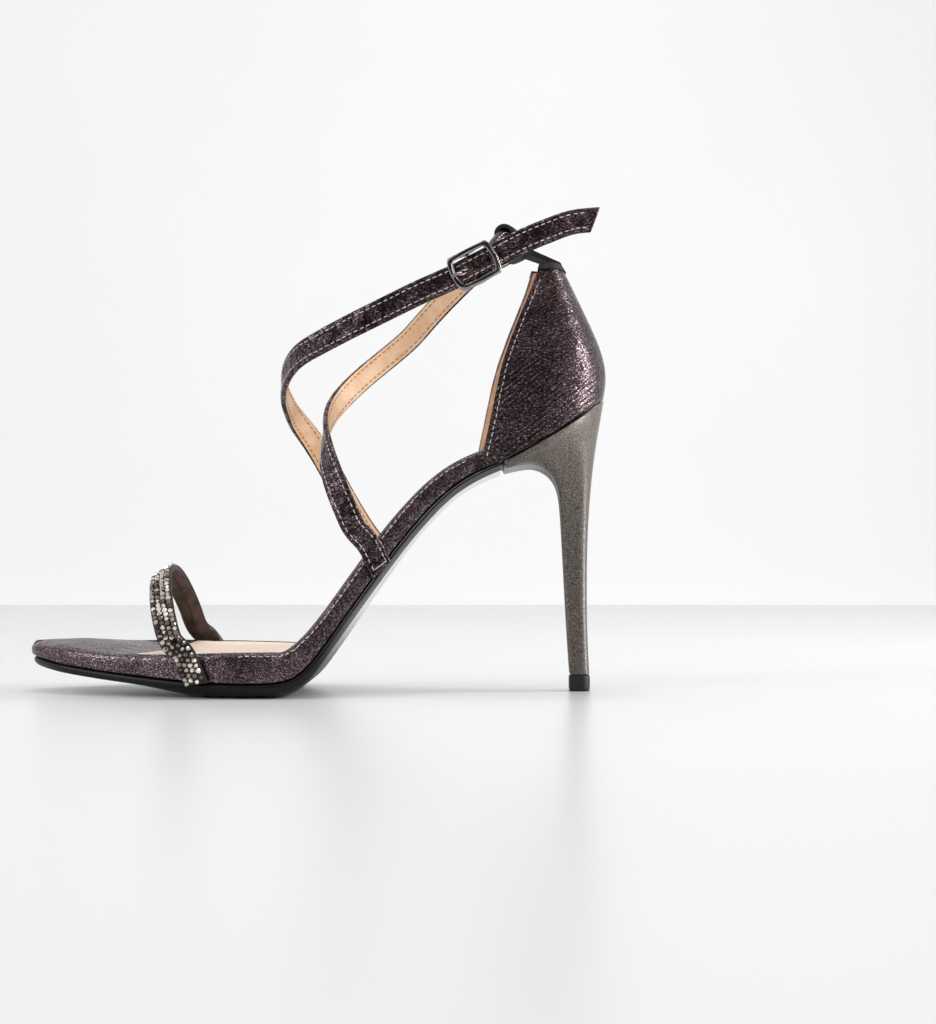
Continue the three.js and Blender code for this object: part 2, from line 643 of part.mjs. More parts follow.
const seatHalf = (outline(0.93).inner - outline(0.93).outer) / 2;
const liftTop = LIFT_HEIGHT + FIT_GAP;

function makeHeel() {
  const riseTo = (rise) => lerp(liftTop, HEEL_RISE, rise);
  const rows = HEEL_ROWS.map(({ front, frontRise, back, backRise, width, round }) => heelRing(
    new THREE.Vector3(featherX(front), 0, riseTo(frontRise)),
    new THREE.Vector3(featherX(back), 0, riseTo(backRise)),
    seatHalf * width,
    round,
    HEEL_BREAST_SCOOP,
  ));
  const foot = heelRing(
    new THREE.Vector3(liftReach - LIFT_LENGTH / 2, 0, liftTop),
    new THREE.Vector3(liftReach + LIFT_LENGTH / 2, 0, liftTop),
    LIFT_WIDTH / 2,
    0.4,
    HEEL_BREAST_SCOOP,
  );
  const seatRound = SEAT_ROUND / ((1 - breastShare) * SOLE_RUN);
  const steps = SIDE_STEPS + ARC_STEPS;
  const breast = outline(breastShare);
  const lowered = (share, y, depth) => {
    const back = (share - breastShare) / (1 - breastShare);
    const point = solePoint(share, y, -halfGap - depth * (1 - back));
    return point.add(new THREE.Vector3(-HEEL_BACK_RAKE * depth * back, 0, -depth * back));
  };
  const seatRing = (depth, inset) => {
    const seatPoint = (k, side) => {
      const share = lerp(breastShare, 1, sideStep(k, seatRound).part);
      const y = side < 0 ? outline(share).outer + inset : outline(share).inner - inset;
      return lowered(share, y, depth);
    };
    const ring = [];
    for (let k = 0; k < steps; k += 1) ring.push(seatPoint(k, -1));
    ring.push(lowered(1, 0, depth));
    for (let k = steps - 1; k >= 0; k -= 1) ring.push(seatPoint(k, 1));
    [0.75, 0.5, 0.25].forEach((part) => {
      ring.push(solePoint(breastShare, lerp(breast.outer, breast.inner, part), -halfGap - depth));
    });
    return ring;
  };
  return stack([foot, ...rows, seatRing(HEEL_WING, 0.4), seatRing(0, 0)], steps);
}

function makeLift() {
  const ring = (z, spare) => heelRing(
    new THREE.Vector3(liftReach - LIFT_LENGTH / 2 - spare, 0, z),
    new THREE.Vector3(liftReach + LIFT_LENGTH / 2 + spare, 0, z),
    LIFT_WIDTH / 2 + spare,
    0.4,
    0.04,
  );
  const rings = [ring(0, -0.1), ring(0.6, 0.2), ring(LIFT_HEIGHT - 0.4, 0.2), ring(LIFT_HEIGHT, 0)];
  return stack(rings, SIDE_STEPS + ARC_STEPS);
}

// The outer face of the counter. up goes from the seam at 0 to the top at 1 and around from the
// outer front edge at -1 by the back at 0 to the inner front edge at 1.
const counterRound = SEAT_ROUND / ((1 - counterStart) * SOLE_RUN);
const counterSteps = SIDE_STEPS + ARC_STEPS;

function counterPoint(row, step, side) {
  const { part, half } = sideStep(step, counterRound);
  const share = lerp(counterStart, 1, part);
  const edge = side < 0 ? outline(share).outer : outline(share).inner;
  if (!row) return solePoint(share, step === counterSteps ? 0 : edge, halfGap);
  const widthShare = lerp(1, COUNTER_TOP_WIDTH / (2 * seatHalf), row.narrow);
  const lead = side > 0 ? COUNTER_INNER_LEAD * (1 - part) : 0;
  return new THREE.Vector3(
    lerp(featherX(row.front) - lead, featherX(row.back), part),
    (half > 1e-6 ? edge : 0) * widthShare,
    HEEL_RISE + COUNTER_RISE * lerp(row.frontRise, row.backRise, part),
  );
}

function counterFace() {
  return [null, ...COUNTER_ROWS].map((row) => {
    const line = [];
    for (let k = 0; k <= counterSteps; k += 1) line.push(counterPoint(row, k, -1));
    for (let k = counterSteps - 1; k >= 0; k -= 1) line.push(counterPoint(row, k, 1));
    return line;
  });
}

// A wall of even thickness behind a face of points, closed along its edges
function shell(face, wall, keepFlat) {
  const rows = face.length;
  const count = face[0].length;
  const at = (r, k) => face[THREE.MathUtils.clamp(r, 0, rows - 1)][THREE.MathUtils.clamp(k, 0, count - 1)];
  const inside = face.map((line, r) => line.map((point, k) => {
    const around = at(r, k + 1).clone().sub(at(r, k - 1));
    const up = at(r + 1, k).clone().sub(at(r - 1, k));
    const normal = new THREE.Vector3().crossVectors(around, up);
    const flat = keepFlat(r, k);
    if (flat) normal.addScaledVector(flat, -normal.dot(flat));
    return point.clone().addScaledVector(normal.normalize(), -wall);
  }));
  const points = [...face.flat(), ...inside.flat()];
  const skin = rows * count;
  const faces = [];
  const quad = (a, b, c, d) => faces.push([a, b, c], [a, c, d]);
  range(rows - 1).forEach((r) => range(count - 1).forEach((k) => {
    const a = r * count + k;
    quad(a, a + 1, a + 1 + count, a + count);
    quad(skin + a, skin + a + count, skin + a + 1 + count, skin + a + 1);
  }));
  range(count - 1).forEach((k) => {
    const top = (rows - 1) * count + k;
    quad(k + 1, k, skin + k, skin + k + 1);
    quad(top, top + 1, skin + top + 1, skin + top);
  });
  range(rows - 1).forEach((r) => {
    const left = r * count;
    const right = r * count + count - 1;
    quad(left, left + count, skin + left + count, skin + left);
    quad(right + count, right, skin + right, skin + right + count);
  });
  return closedMesh(points, faces);
}

function makeCounter() {
  const seatNormal = (k) => {
    const step = Math.min(k, 2 * counterSteps - k);
    const share = lerp(counterStart, 1, sideStep(step, counterRound).part);
    return solePoint(share, 0, 1).sub(solePoint(share, 0, 0)).normalize();
  };
  return shell(counterFace(), COUNTER_WALL, (r, k) => (r === 0 ? seatNormal(k) : null));
}

// A strap swept along its route. Each stop has a place and the direction that its outer side faces.
// Its ends may be cut on a slant, and its start may be longer.
function strap(stops, width, thickness, steps, ends = {}) {
  const { startSlant = 0, startLonger = 0, endSlant = 0 } = ends;
  const curve = new THREE.CatmullRomCurve3(stops.map((stop) => stop.place), false, 'centripetal');
  const facing = new THREE.CatmullRomCurve3(stops.map((stop) => stop.face), false, 'catmullrom', 0.5);
  const bevel = thickness * 0.28;
  const section = [
    [-width / 2, thickness / 2 - bevel], [-width / 2 + bevel, thickness / 2],
    [width / 2 - bevel, thickness / 2], [width / 2, thickness / 2 - bevel],
    [width / 2, -thickness / 2 + bevel], [width / 2 - bevel, -thickness / 2],
    [-width / 2 + bevel, -thickness / 2], [-width / 2, -thickness / 2 + bevel],
  ];
  const rows = range(steps + 1).map((i) => {
    const along = i / steps;
    const part = curve.getUtoTmapping(along);
    const centre = curve.getPoint(part);
    const tangent = curve.getTangent(part);
    const face = facing.getPoint(part);
    face.addScaledVector(tangent, -face.dot(tangent)).normalize();
    const across = new THREE.Vector3().crossVectors(tangent, face).normalize();
    return section.map(([w, n]) => {
      const point = centre.clone().addScaledVector(across, w).addScaledVector(face, n);
      if (i === 0) point.addScaledVector(tangent, (startSlant * w) / width - startLonger);
      if (i === steps) point.addScaledVector(tangent, (endSlant * w) / width);
      return point;
    });
  });
  return stack(rows);
}

const facingOf = (turn, lean) => new THREE.Vector3(
  Math.cos(turn * RAD) * Math.cos(lean * RAD),
  Math.sin(turn * RAD) * Math.cos(lean * RAD),
  Math.sin(lean * RAD),
);

// A stop of a strap against the side of the board. up is a share of the board's height there.
function bandStop(reach, side, up, thickness) {
  const share = shareAtX(reach);
  const { outer, inner } = outline(share);
  const out = BAND_CLEARANCE + thickness / 2;
  const y = side < 0 ? outer - out : inner + out;
  const height = halfGap + FIT_GAP + up * boardTop(share);
  const step = 0.01;
  const edgeAt = (at) => solePoint(at, side < 0 ? outline(at).outer : outline(at).inner, 0);
  const along = edgeAt(share + step).sub(edgeAt(share - step));
  const square = solePoint(share, 0, 1).sub(solePoint(share, 0, 0));
  const face = along.cross(square).normalize();
  if (face.y * side < 0) face.negate();
  return { place: solePoint(share, y, height), face };
}

const ankleStop = ({ along, across, height, face, lean }) => ({
  place: new THREE.Vector3(along * SOLE_RUN, across * BALL_WIDTH, height * UPPER_HEIGHT),
  face: facingOf(face, lean),
});

// The buckle's own frame: along the strap, up across it, and out from the ankle. Shapes drawn in
// x, y and z are put in place in it by the matrix.
const buckleAlong = new THREE.Vector3(Math.cos(BUCKLE_TILT * RAD), 0, Math.sin(BUCKLE_TILT * RAD));
const buckleOut = new THREE.Vector3(0, -1, 0);
const buckleUp = new THREE.Vector3().crossVectors(buckleAlong, buckleOut).negate();
const bucklePlace = new THREE.Vector3(BUCKLE_REACH, -BUCKLE_OUT * BALL_WIDTH, UPPER_HEIGHT - BUCKLE_DROP);
const buckleMatrix = new THREE.Matrix4().makeBasis(buckleAlong, buckleUp, buckleOut).setPosition(bucklePlace);
const inBuckle = (along, up, out) => bucklePlace.clone()
  .addScaledVector(buckleAlong, along)
  .addScaledVector(buckleUp, up)
  .addScaledVector(buckleOut, out);

// Levels of the buckle, out from the middle of the crossing strap
const barUnder = STRAP_THICKNESS / 2 + FIT_GAP;
const barOver = barUnder + BUCKLE_THICKNESS;
const boreRadius = HINGE_BAR / 2 + FIT_GAP;
const knuckleRadius = boreRadius + HINGE_PLY;
const hingeLevel = -(STRAP_THICKNESS / 2 + FIT_GAP + knuckleRadius);
const windowHalf = STRAP_WIDTH / 2 + BUCKLE_SIDE_CLEARANCE;
const frameHalf = windowHalf + BUCKLE_BAR;

// A closed hole through a strap, long enough to pass both of its faces
function holeCutter(along, up, length, width) {
  const shape = new THREE.Shape();
  shape.absellipse(0, 0, length / 2, width / 2, 0, Math.PI * 2, false, 0);
  const depth = STRAP_THICKNESS * 4;
  const geometry = new THREE.ExtrudeGeometry(shape, { depth, bevelEnabled: false, curveSegments: 6 });
  geometry.translate(along, up, -depth / 2);
  return solidOf(geometry.applyMatrix4(buckleMatrix));
}

function makeCrossStrap() {
  const footStop = (up) => bandStop(CROSS_STRAP_REACH + WAIST_STRAP_SLANT * up, 1, up, STRAP_THICKNESS);
  const foot = [0, 0.5, 1].map(footStop);
  const half = BUCKLE_LENGTH / 2;
  const inside = [-half, 0, half].map((along) => ({ place: inBuckle(along, 0, 0), face: buckleOut.clone() }));
  const tail = TAIL_ROWS.map(({ along, lift, inward }) => ({
    place: inBuckle(lerp(half, TAIL_LENGTH, along), lift * STRAP_WIDTH, -inward * STRAP_WIDTH),
    face: buckleOut.clone(),
  }));
  const stops = [...foot, ...CROSS_ROWS.map(ankleStop), ...inside, ...tail];
  const whole = solidOf(strap(stops, STRAP_WIDTH, STRAP_THICKNESS, 74, { endSlant: -TAIL_SLANT }));
  const slot = holeCutter(-PRONG_HOLE_REACH + 0.6, 0, 4.2, HOLE_WIDTH);
  const spare = holeCutter(HOLE_PITCH - PRONG_HOLE_REACH, 0, HOLE_WIDTH, HOLE_WIDTH);
  return geometryOf(whole.subtract(slot).subtract(spare));
}

// The middle of the tunnel, forward of the back of the counter's top and above it
const tunnelPlace = new THREE.Vector3(
  featherX(COUNTER_ROWS[COUNTER_ROWS.length - 1].back) - TUNNEL_FORWARD,
  0,
  UPPER_HEIGHT + TUNNEL_RISE,
);
const tunnelLong = new THREE.Vector3(-Math.cos(TUNNEL_LEAN * RAD), 0, Math.sin(TUNNEL_LEAN * RAD));
const tunnelShort = new THREE.Vector3(Math.sin(TUNNEL_LEAN * RAD), 0, Math.cos(TUNNEL_LEAN * RAD));
const tunnelBack = (y) => (y * y) / (2 * TUNNEL_CURVE);

// A round-ended ring of the tunnel at a place across it
function tunnelRing(y, wall) {
  const depth = TUNNEL_DEPTH / 2 - wall;
  const straight = (TUNNEL_LENGTH - TUNNEL_DEPTH) / 2;
  const turns = range(8).map((k) => (k * Math.PI) / 7 - Math.PI / 2);
  const ends = [1, -1].flatMap((end) => turns.map((turn) => ({
    long: end * (straight + depth * Math.cos(turn)),
    short: end * depth * Math.sin(turn),
  })));
  return ends.map(({ long, short }) => tunnelPlace.clone()
    .addScaledVector(tunnelLong, long)
    .addScaledVector(tunnelShort, short)
    .add(new THREE.Vector3(-tunnelBack(y), y, 0)));
}

function makeTunnel() {
  const slices = 8;
  const places = range(slices + 1).map((i) => lerp(-TUNNEL_WIDTH / 2, TUNNEL_WIDTH / 2, i / slices));
  const outside = solidOf(stack(places.map((y) => tunnelRing(y, 0))));
  const hollow = solidOf(stack(places.map((y) => tunnelRing(y * 1.02, TUNNEL_WALL))));
  const top = counterFace()[COUNTER_ROWS.length];
  const joined = top.filter((point) => Math.abs(point.y) <= TUNNEL_APRON_WIDTH / 2);
  const rows = joined.map((point) => {
    const rim = point.clone().add(new THREE.Vector3(0, 0, FIT_GAP));
    const ring = tunnelPlace.clone()
      .addScaledVector(tunnelShort, TUNNEL_DEPTH * 0.28)
      .addScaledVector(tunnelLong, -TUNNEL_LENGTH * 0.36)
      .add(new THREE.Vector3(-tunnelBack(point.y), point.y, 0));
    const lift = new THREE.Vector3(0, 0, TUNNEL_WALL);
    const foot = tunnelPlace.clone()
      .addScaledVector(tunnelLong, -(TUNNEL_LENGTH - TUNNEL_WALL) / 2)
      .add(new THREE.Vector3(-tunnelBack(point.y), point.y, 0));
    return [rim, rim.clone().add(lift), ring, foot];
  });
  const apron = solidOf(stack(rows));
  return geometryOf(outside.add(apron).subtract(hollow));
}

function makeAnkleStrap() {
  const footStop = (up) => bandStop(ANKLE_STRAP_REACH + WAIST_STRAP_SLANT * up, -1, up, STRAP_THICKNESS);
  const foot = [0, 0.5, 1].map(footStop);
  const tunnelMiddle = tunnelPlace.clone()
    .addScaledVector(tunnelLong, TUNNEL_STRAP_UP)
    .addScaledVector(tunnelShort, -TUNNEL_STRAP_FORWARD);
  const through = [0.48, 0.16, -0.16, -0.48].map((part) => {
    const y = part * TUNNEL_WIDTH;
    return {
      place: tunnelMiddle.clone().add(new THREE.Vector3(-tunnelBack(y), y, 0)),
      face: tunnelShort.clone().add(new THREE.Vector3(0, part, 0)).normalize(),
    };
  });
  const lateral = HINGE_ROWS.map(({ along, up, behind, face, lean }) => ({
    place: inBuckle(along * BUCKLE_LENGTH, up * BUCKLE_LENGTH, hingeLevel - behind * BUCKLE_LENGTH),
    face: facingOf(face, lean),
  }));
  const stops = [...foot, ...ANKLE_ROWS.map(ankleStop), ...through, ...lateral];
  const start = { startSlant: WAIST_END_SLANT, startLonger: WAIST_END_REACH };
  const whole = solidOf(strap(stops, STRAP_WIDTH, STRAP_THICKNESS, 84, start));
  const knuckle = new THREE.CylinderGeometry(knuckleRadius, knuckleRadius, STRAP_WIDTH, 16);
  knuckle.translate(0, 0, hingeLevel).applyMatrix4(buckleMatrix);
  const bore = new THREE.CylinderGeometry(boreRadius, boreRadius, STRAP_WIDTH * 1.2, 12);
  bore.translate(0, 0, hingeLevel).applyMatrix4(buckleMatrix);
  const slotWidth = PRONG_THICKNESS + 3 * FIT_GAP;
  const slot = new THREE.BoxGeometry(knuckleRadius * 3.2, slotWidth, knuckleRadius * 3);
  slot.translate(-knuckleRadius * 0.2, 0, hingeLevel).applyMatrix4(buckleMatrix);
  return geometryOf(whole.add(solidOf(knuckle)).subtract(solidOf(bore)).subtract(solidOf(slot)));
}

function bowedOutline(halfLength, halfWidth, bow, path) {
  path.moveTo(-halfLength, -halfWidth);
  path.lineTo(halfLength, -halfWidth);
  path.quadraticCurveTo(halfLength + 2 * bow, 0, halfLength, halfWidth);
  path.lineTo(-halfLength, halfWidth);
  path.quadraticCurveTo(-halfLength - 2 * bow, 0, -halfLength, -halfWidth);
}

function makeBuckleFrame() {
  const edge = 0.28;
  const shape = new THREE.Shape();
  const window = new THREE.Path();
  bowedOutline(BUCKLE_LENGTH / 2 - edge, frameHalf - edge, BUCKLE_BOW, shape);
  bowedOutline(BUCKLE_LENGTH / 2 - BUCKLE_BAR + edge, windowHalf + edge, BUCKLE_BOW * 0.8, window);
  shape.holes.push(window);
  const plate = new THREE.ExtrudeGeometry(shape, {
    depth: BUCKLE_THICKNESS - 2 * edge,
    bevelEnabled: true,
    bevelSize: edge,
    bevelThickness: edge,
    bevelSegments: 1,
    curveSegments: 6,
  });
  plate.translate(0, 0, barUnder + edge).applyMatrix4(buckleMatrix);
  let frame = solidOf(plate);
  const ear = new THREE.Shape();
  const top = barUnder + BUCKLE_THICKNESS * 0.6;
  const low = hingeLevel - HINGE_BAR / 2 - 0.3;
  ear.moveTo(-BUCKLE_LENGTH * 0.3, top);
  ear.lineTo(-HINGE_BAR * 1.2, low + 0.4);
  ear.lineTo(-HINGE_BAR * 0.6, low);
  ear.lineTo(HINGE_BAR * 0.6, low);
  ear.lineTo(HINGE_BAR * 1.2, low + 0.4);
  ear.lineTo(BUCKLE_LENGTH * 0.3, top);
  ear.closePath();
  [-1, 1].forEach((side) => {
    const geometry = new THREE.ExtrudeGeometry(ear, { depth: BUCKLE_BAR - 0.4, bevelEnabled: false });
    geometry.rotateX(Math.PI / 2);
    const near = side > 0 ? frameHalf - 0.2 : -windowHalf - 0.2;
    geometry.translate(0, near, 0).applyMatrix4(buckleMatrix);
    frame = frame.add(solidOf(geometry));
  });
  const bar = new THREE.CylinderGeometry(HINGE_BAR / 2, HINGE_BAR / 2, frameHalf * 2 - 1, 12);
  bar.translate(0, 0, hingeLevel).applyMatrix4(buckleMatrix);
  return geometryOf(frame.add(solidOf(bar)));
}

function makeProng() {
  const radius = PRONG_THICKNESS / 2;
  const tipReach = BUCKLE_LENGTH / 2 + BUCKLE_BOW * 0.6;
  const rest = barOver + FIT_GAP + radius;
  const path = new THREE.CatmullRomCurve3([
    inBuckle(-0.6, 0, hingeLevel),
    inBuckle(-2.2, 0, hingeLevel + 0.2),
    inBuckle(-PRONG_HOLE_REACH + 1.2, 0, -STRAP_THICKNESS / 2),
    inBuckle(-PRONG_HOLE_REACH, 0, barUnder + 0.7),
    inBuckle(-PRONG_HOLE_REACH - 1.4, 0, rest),
    inBuckle(-tipReach, 0, rest),
  ], false, 'centripetal');
  const round = new THREE.Shape();
  round.absellipse(0, 0, radius, radius, 0, Math.PI * 2, false, 0);
  const sweep = { steps: 16, extrudePath: path, curveSegments: 4, bevelEnabled: false };
  const arm = new THREE.ExtrudeGeometry(round, sweep);
  const eyeRadius = boreRadius + PRONG_EYE_WALL;
  const eye = new THREE.CylinderGeometry(eyeRadius, eyeRadius, PRONG_THICKNESS, 14);
  eye.translate(0, 0, hingeLevel).applyMatrix4(buckleMatrix);
  const bore = new THREE.CylinderGeometry(boreRadius, boreRadius, PRONG_THICKNESS * 2, 12);
  bore.translate(0, 0, hingeLevel).applyMatrix4(buckleMatrix);
  return geometryOf(solidOf(arm).add(solidOf(eye)).subtract(solidOf(bore)));
}

function makeToeStrap() {
  const outerStop = (up) => {
    const reach = TOE_STRAP_OUTER_REACH - TOE_STRAP_SLANT * up;
    return bandStop(reach, -1, up, TOE_STRAP_THICKNESS);
  };
  const innerStop = (up) => bandStop(TOE_STRAP_INNER_REACH, 1, up, TOE_STRAP_THICKNESS);
  const start = [0, 0.5, 0.95].map(outerStop);
  const end = [0.95, 0.5, 0].map(innerStop);
  const arch = TOE_ROWS.map(({ along, across, height, lean, forward }) => ({
    place: new THREE.Vector3(along * SOLE_RUN, across * BALL_WIDTH, height * TOE_ARCH_HEIGHT),
    face: facingOf(-90, lean).add(new THREE.Vector3(-forward, 0, 0)).normalize(),
  }));
  return strap([...start, ...arch, ...end], TOE_STRAP_WIDTH, TOE_STRAP_THICKNESS, 40, {
    startSlant: -TOE_END_SLANT,
    startLonger: TOE_END_REACH,
  });
}

function meshOf(name, geometry, colour, roughness, metalness) {
  const material = new THREE.MeshStandardMaterial({ color: colour, roughness, metalness });
  const mesh = new THREE.Mesh(geometry, material);
  mesh.name = name;
  return mesh;
}

const group = new THREE.Group();
const PEWTER = 0x4a3f44;
group.add(
  meshOf('platform', makePlatform(), PEWTER, 0.4, 0.6),
  meshOf('sock', makeSock(), 0xe0b48e, 0.6, 0.0),
  meshOf('outsole', makeOutsole(), 0x141414, 0.6, 0.0),
  meshOf('heel', makeHeel(), 0x6b6764, 0.35, 0.5),
  meshOf('top_lift', makeLift(), 0x101010, 0.6, 0.0),
  meshOf('counter', makeCounter(), PEWTER, 0.35, 0.6),
  meshOf('toe_strap', makeToeStrap(), 0x5a5450, 0.3, 0.8),
  meshOf('cross_strap', makeCrossStrap(), PEWTER, 0.35, 0.6),
  meshOf('ankle_strap', makeAnkleStrap(), PEWTER, 0.35, 0.6),
  meshOf('heel_tunnel', makeTunnel(), 0x161616, 0.8, 0.0),
  meshOf('buckle_frame', makeBuckleFrame(), 0x3c3c3f, 0.15, 1.0),
  meshOf('buckle_prong', makeProng(), 0x3c3c3f, 0.15, 1.0),
);

export default group;
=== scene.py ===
# %% [markdown]
# # A strappy sandal on a slim heel
#
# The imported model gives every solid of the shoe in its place. This lesson dresses those solids: it
# rounds them, lines them, sews them and sets the stones, and then it lights them as in a studio.
# All lengths are in metres, and the helper `mm` lets us write them as a shoemaker does.

# %% Frame
import math
import random

import bmesh
import bpy
from mathutils import Matrix, Vector
from mathutils.bvhtree import BVHTree


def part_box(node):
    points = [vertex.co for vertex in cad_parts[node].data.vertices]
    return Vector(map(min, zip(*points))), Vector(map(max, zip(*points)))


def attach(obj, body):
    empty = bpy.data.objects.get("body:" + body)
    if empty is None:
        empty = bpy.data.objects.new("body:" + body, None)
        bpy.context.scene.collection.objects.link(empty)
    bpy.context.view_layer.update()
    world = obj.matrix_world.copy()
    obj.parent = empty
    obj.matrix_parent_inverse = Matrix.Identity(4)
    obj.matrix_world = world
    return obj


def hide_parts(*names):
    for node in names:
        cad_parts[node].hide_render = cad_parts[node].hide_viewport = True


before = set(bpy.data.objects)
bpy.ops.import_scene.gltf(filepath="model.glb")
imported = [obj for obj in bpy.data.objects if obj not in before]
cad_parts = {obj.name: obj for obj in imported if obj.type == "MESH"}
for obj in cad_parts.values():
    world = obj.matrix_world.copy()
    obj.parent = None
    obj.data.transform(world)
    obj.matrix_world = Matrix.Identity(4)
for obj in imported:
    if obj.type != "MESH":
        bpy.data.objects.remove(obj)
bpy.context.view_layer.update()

random.seed(7)


def mm(length):
    return length / 1000


# %% [markdown]
# ## Camera
# The photograph looks at the outer side of the shoe from its own height, so the camera stays level.
# A long lens keeps the heel and the toe in proportion. The horizon lies a little under the middle
# of the picture, and a small lens shift does that without tilting the camera. Focal length and
# horizon are given in pixels of the photograph, which is taller than it is wide.

# %% Camera
PHOTO_HEIGHT = 1024
FOCAL_PIXELS = 1716
HORIZON_ROW = 555
SENSOR = 36
CAMERA_REACH = mm(75.9)
CAMERA_DISTANCE = mm(620)
CAMERA_HEIGHT = mm(49)

camera_data = bpy.data.cameras.new("camera")
camera_data.sensor_width = SENSOR
camera_data.lens = SENSOR * FOCAL_PIXELS / PHOTO_HEIGHT
camera_data.shift_y = (HORIZON_ROW - PHOTO_HEIGHT / 2) / PHOTO_HEIGHT
camera = bpy.data.objects.new("camera", camera_data)
camera.location = (CAMERA_REACH, -CAMERA_DISTANCE, CAMERA_HEIGHT)
camera.rotation_euler = (math.radians(90), 0, 0)
bpy.context.scene.collection.objects.link(camera)
bpy.context.scene.camera = camera
print("lens", round(camera_data.lens, 1), "mm")

# %% [markdown]
# ## Material helpers
# Colours are written as they look on a screen, in hex, and one function turns them to the linear
# values that a shader needs. One more function adds a node and plugs in whatever it is given: a
# socket is linked, and a number is set. Patterns are sized by what they stand for, in millimetres.
# A wave pattern has about three waves in a cell of that size.

# %% Material helpers
def paint(code):
    channels = [int(code[i:i + 2], 16) / 255 for i in (1, 3, 5)]
    linear = [c / 12.92 if c <= 0.04045 else ((c + 0.055) / 1.055) ** 2.4 for c in channels]
    return (*linear, 1)


def add(tree, kind, inputs=None, **settings):
    node = tree.nodes.new(kind)
    for key, value in settings.items():
        setattr(node, key, value)
    for key, value in (inputs or {}).items():
        if isinstance(value, bpy.types.NodeSocket):
            tree.links.new(value, node.inputs[key])
        else:
            node.inputs[key].default_value = value
    return node


def new_material(name, **sockets):
    material = bpy.data.materials.new(name)
    material.use_nodes = True
    shader = material.node_tree.nodes["Principled BSDF"]
    for key, value in sockets.items():
        shader.inputs[key.replace("_", " ")].default_value = value
    return material, material.node_tree, shader


def object_place(tree):
    return add(tree, "ShaderNodeTexCoord").outputs["Object"]


def ramp(tree, factor, stops):
    node = add(tree, "ShaderNodeValToRGB", {"Fac": factor})
    elements = node.color_ramp.elements
    while len(elements) < len(stops):
        elements.new(0.5)
    for element, (place, colour) in zip(elements, stops):
        element.position = place
        element.color = paint(colour)
    return node.outputs["Color"]


def per_length(length):
    """The scale of a pattern whose cells are this many millimetres."""
    return 1 / mm(length)


print("a pattern with cells of 2 mm has the scale", per_length(2))

# %% [markdown]
# ## Pewter leather
# The upper is thin leather with a metallic foil rolled on, and then crumpled so that the foil
# breaks up in tiny facets. The eye sees a dark warm pewter with sharp little lights in it. Here two
# noises, one for the crumple and one for the grain under it, push the normals about. The grain also
# sets the colour: beside the foil's own uneven tone, its low parts are painted near black as shade
# in the folds and its ridges near white as painted sparkle. A third, slow noise lets the skin swell
# a little, so that whole patches catch a light or miss it. Low on the counter the last has pulled
# the skin in slanting folds, and a wave pattern that fades out upwards draws them.

# %% Pewter leather
FACET_TO_GRAIN = 1.2
CLOUD_SIZE = 7
SWELL_SIZE = 9
FOLD_SIZE = 5
FOLD_TURN = math.radians(38)
FOLDS_END = mm(122)
FOLDS_FULL = mm(104)


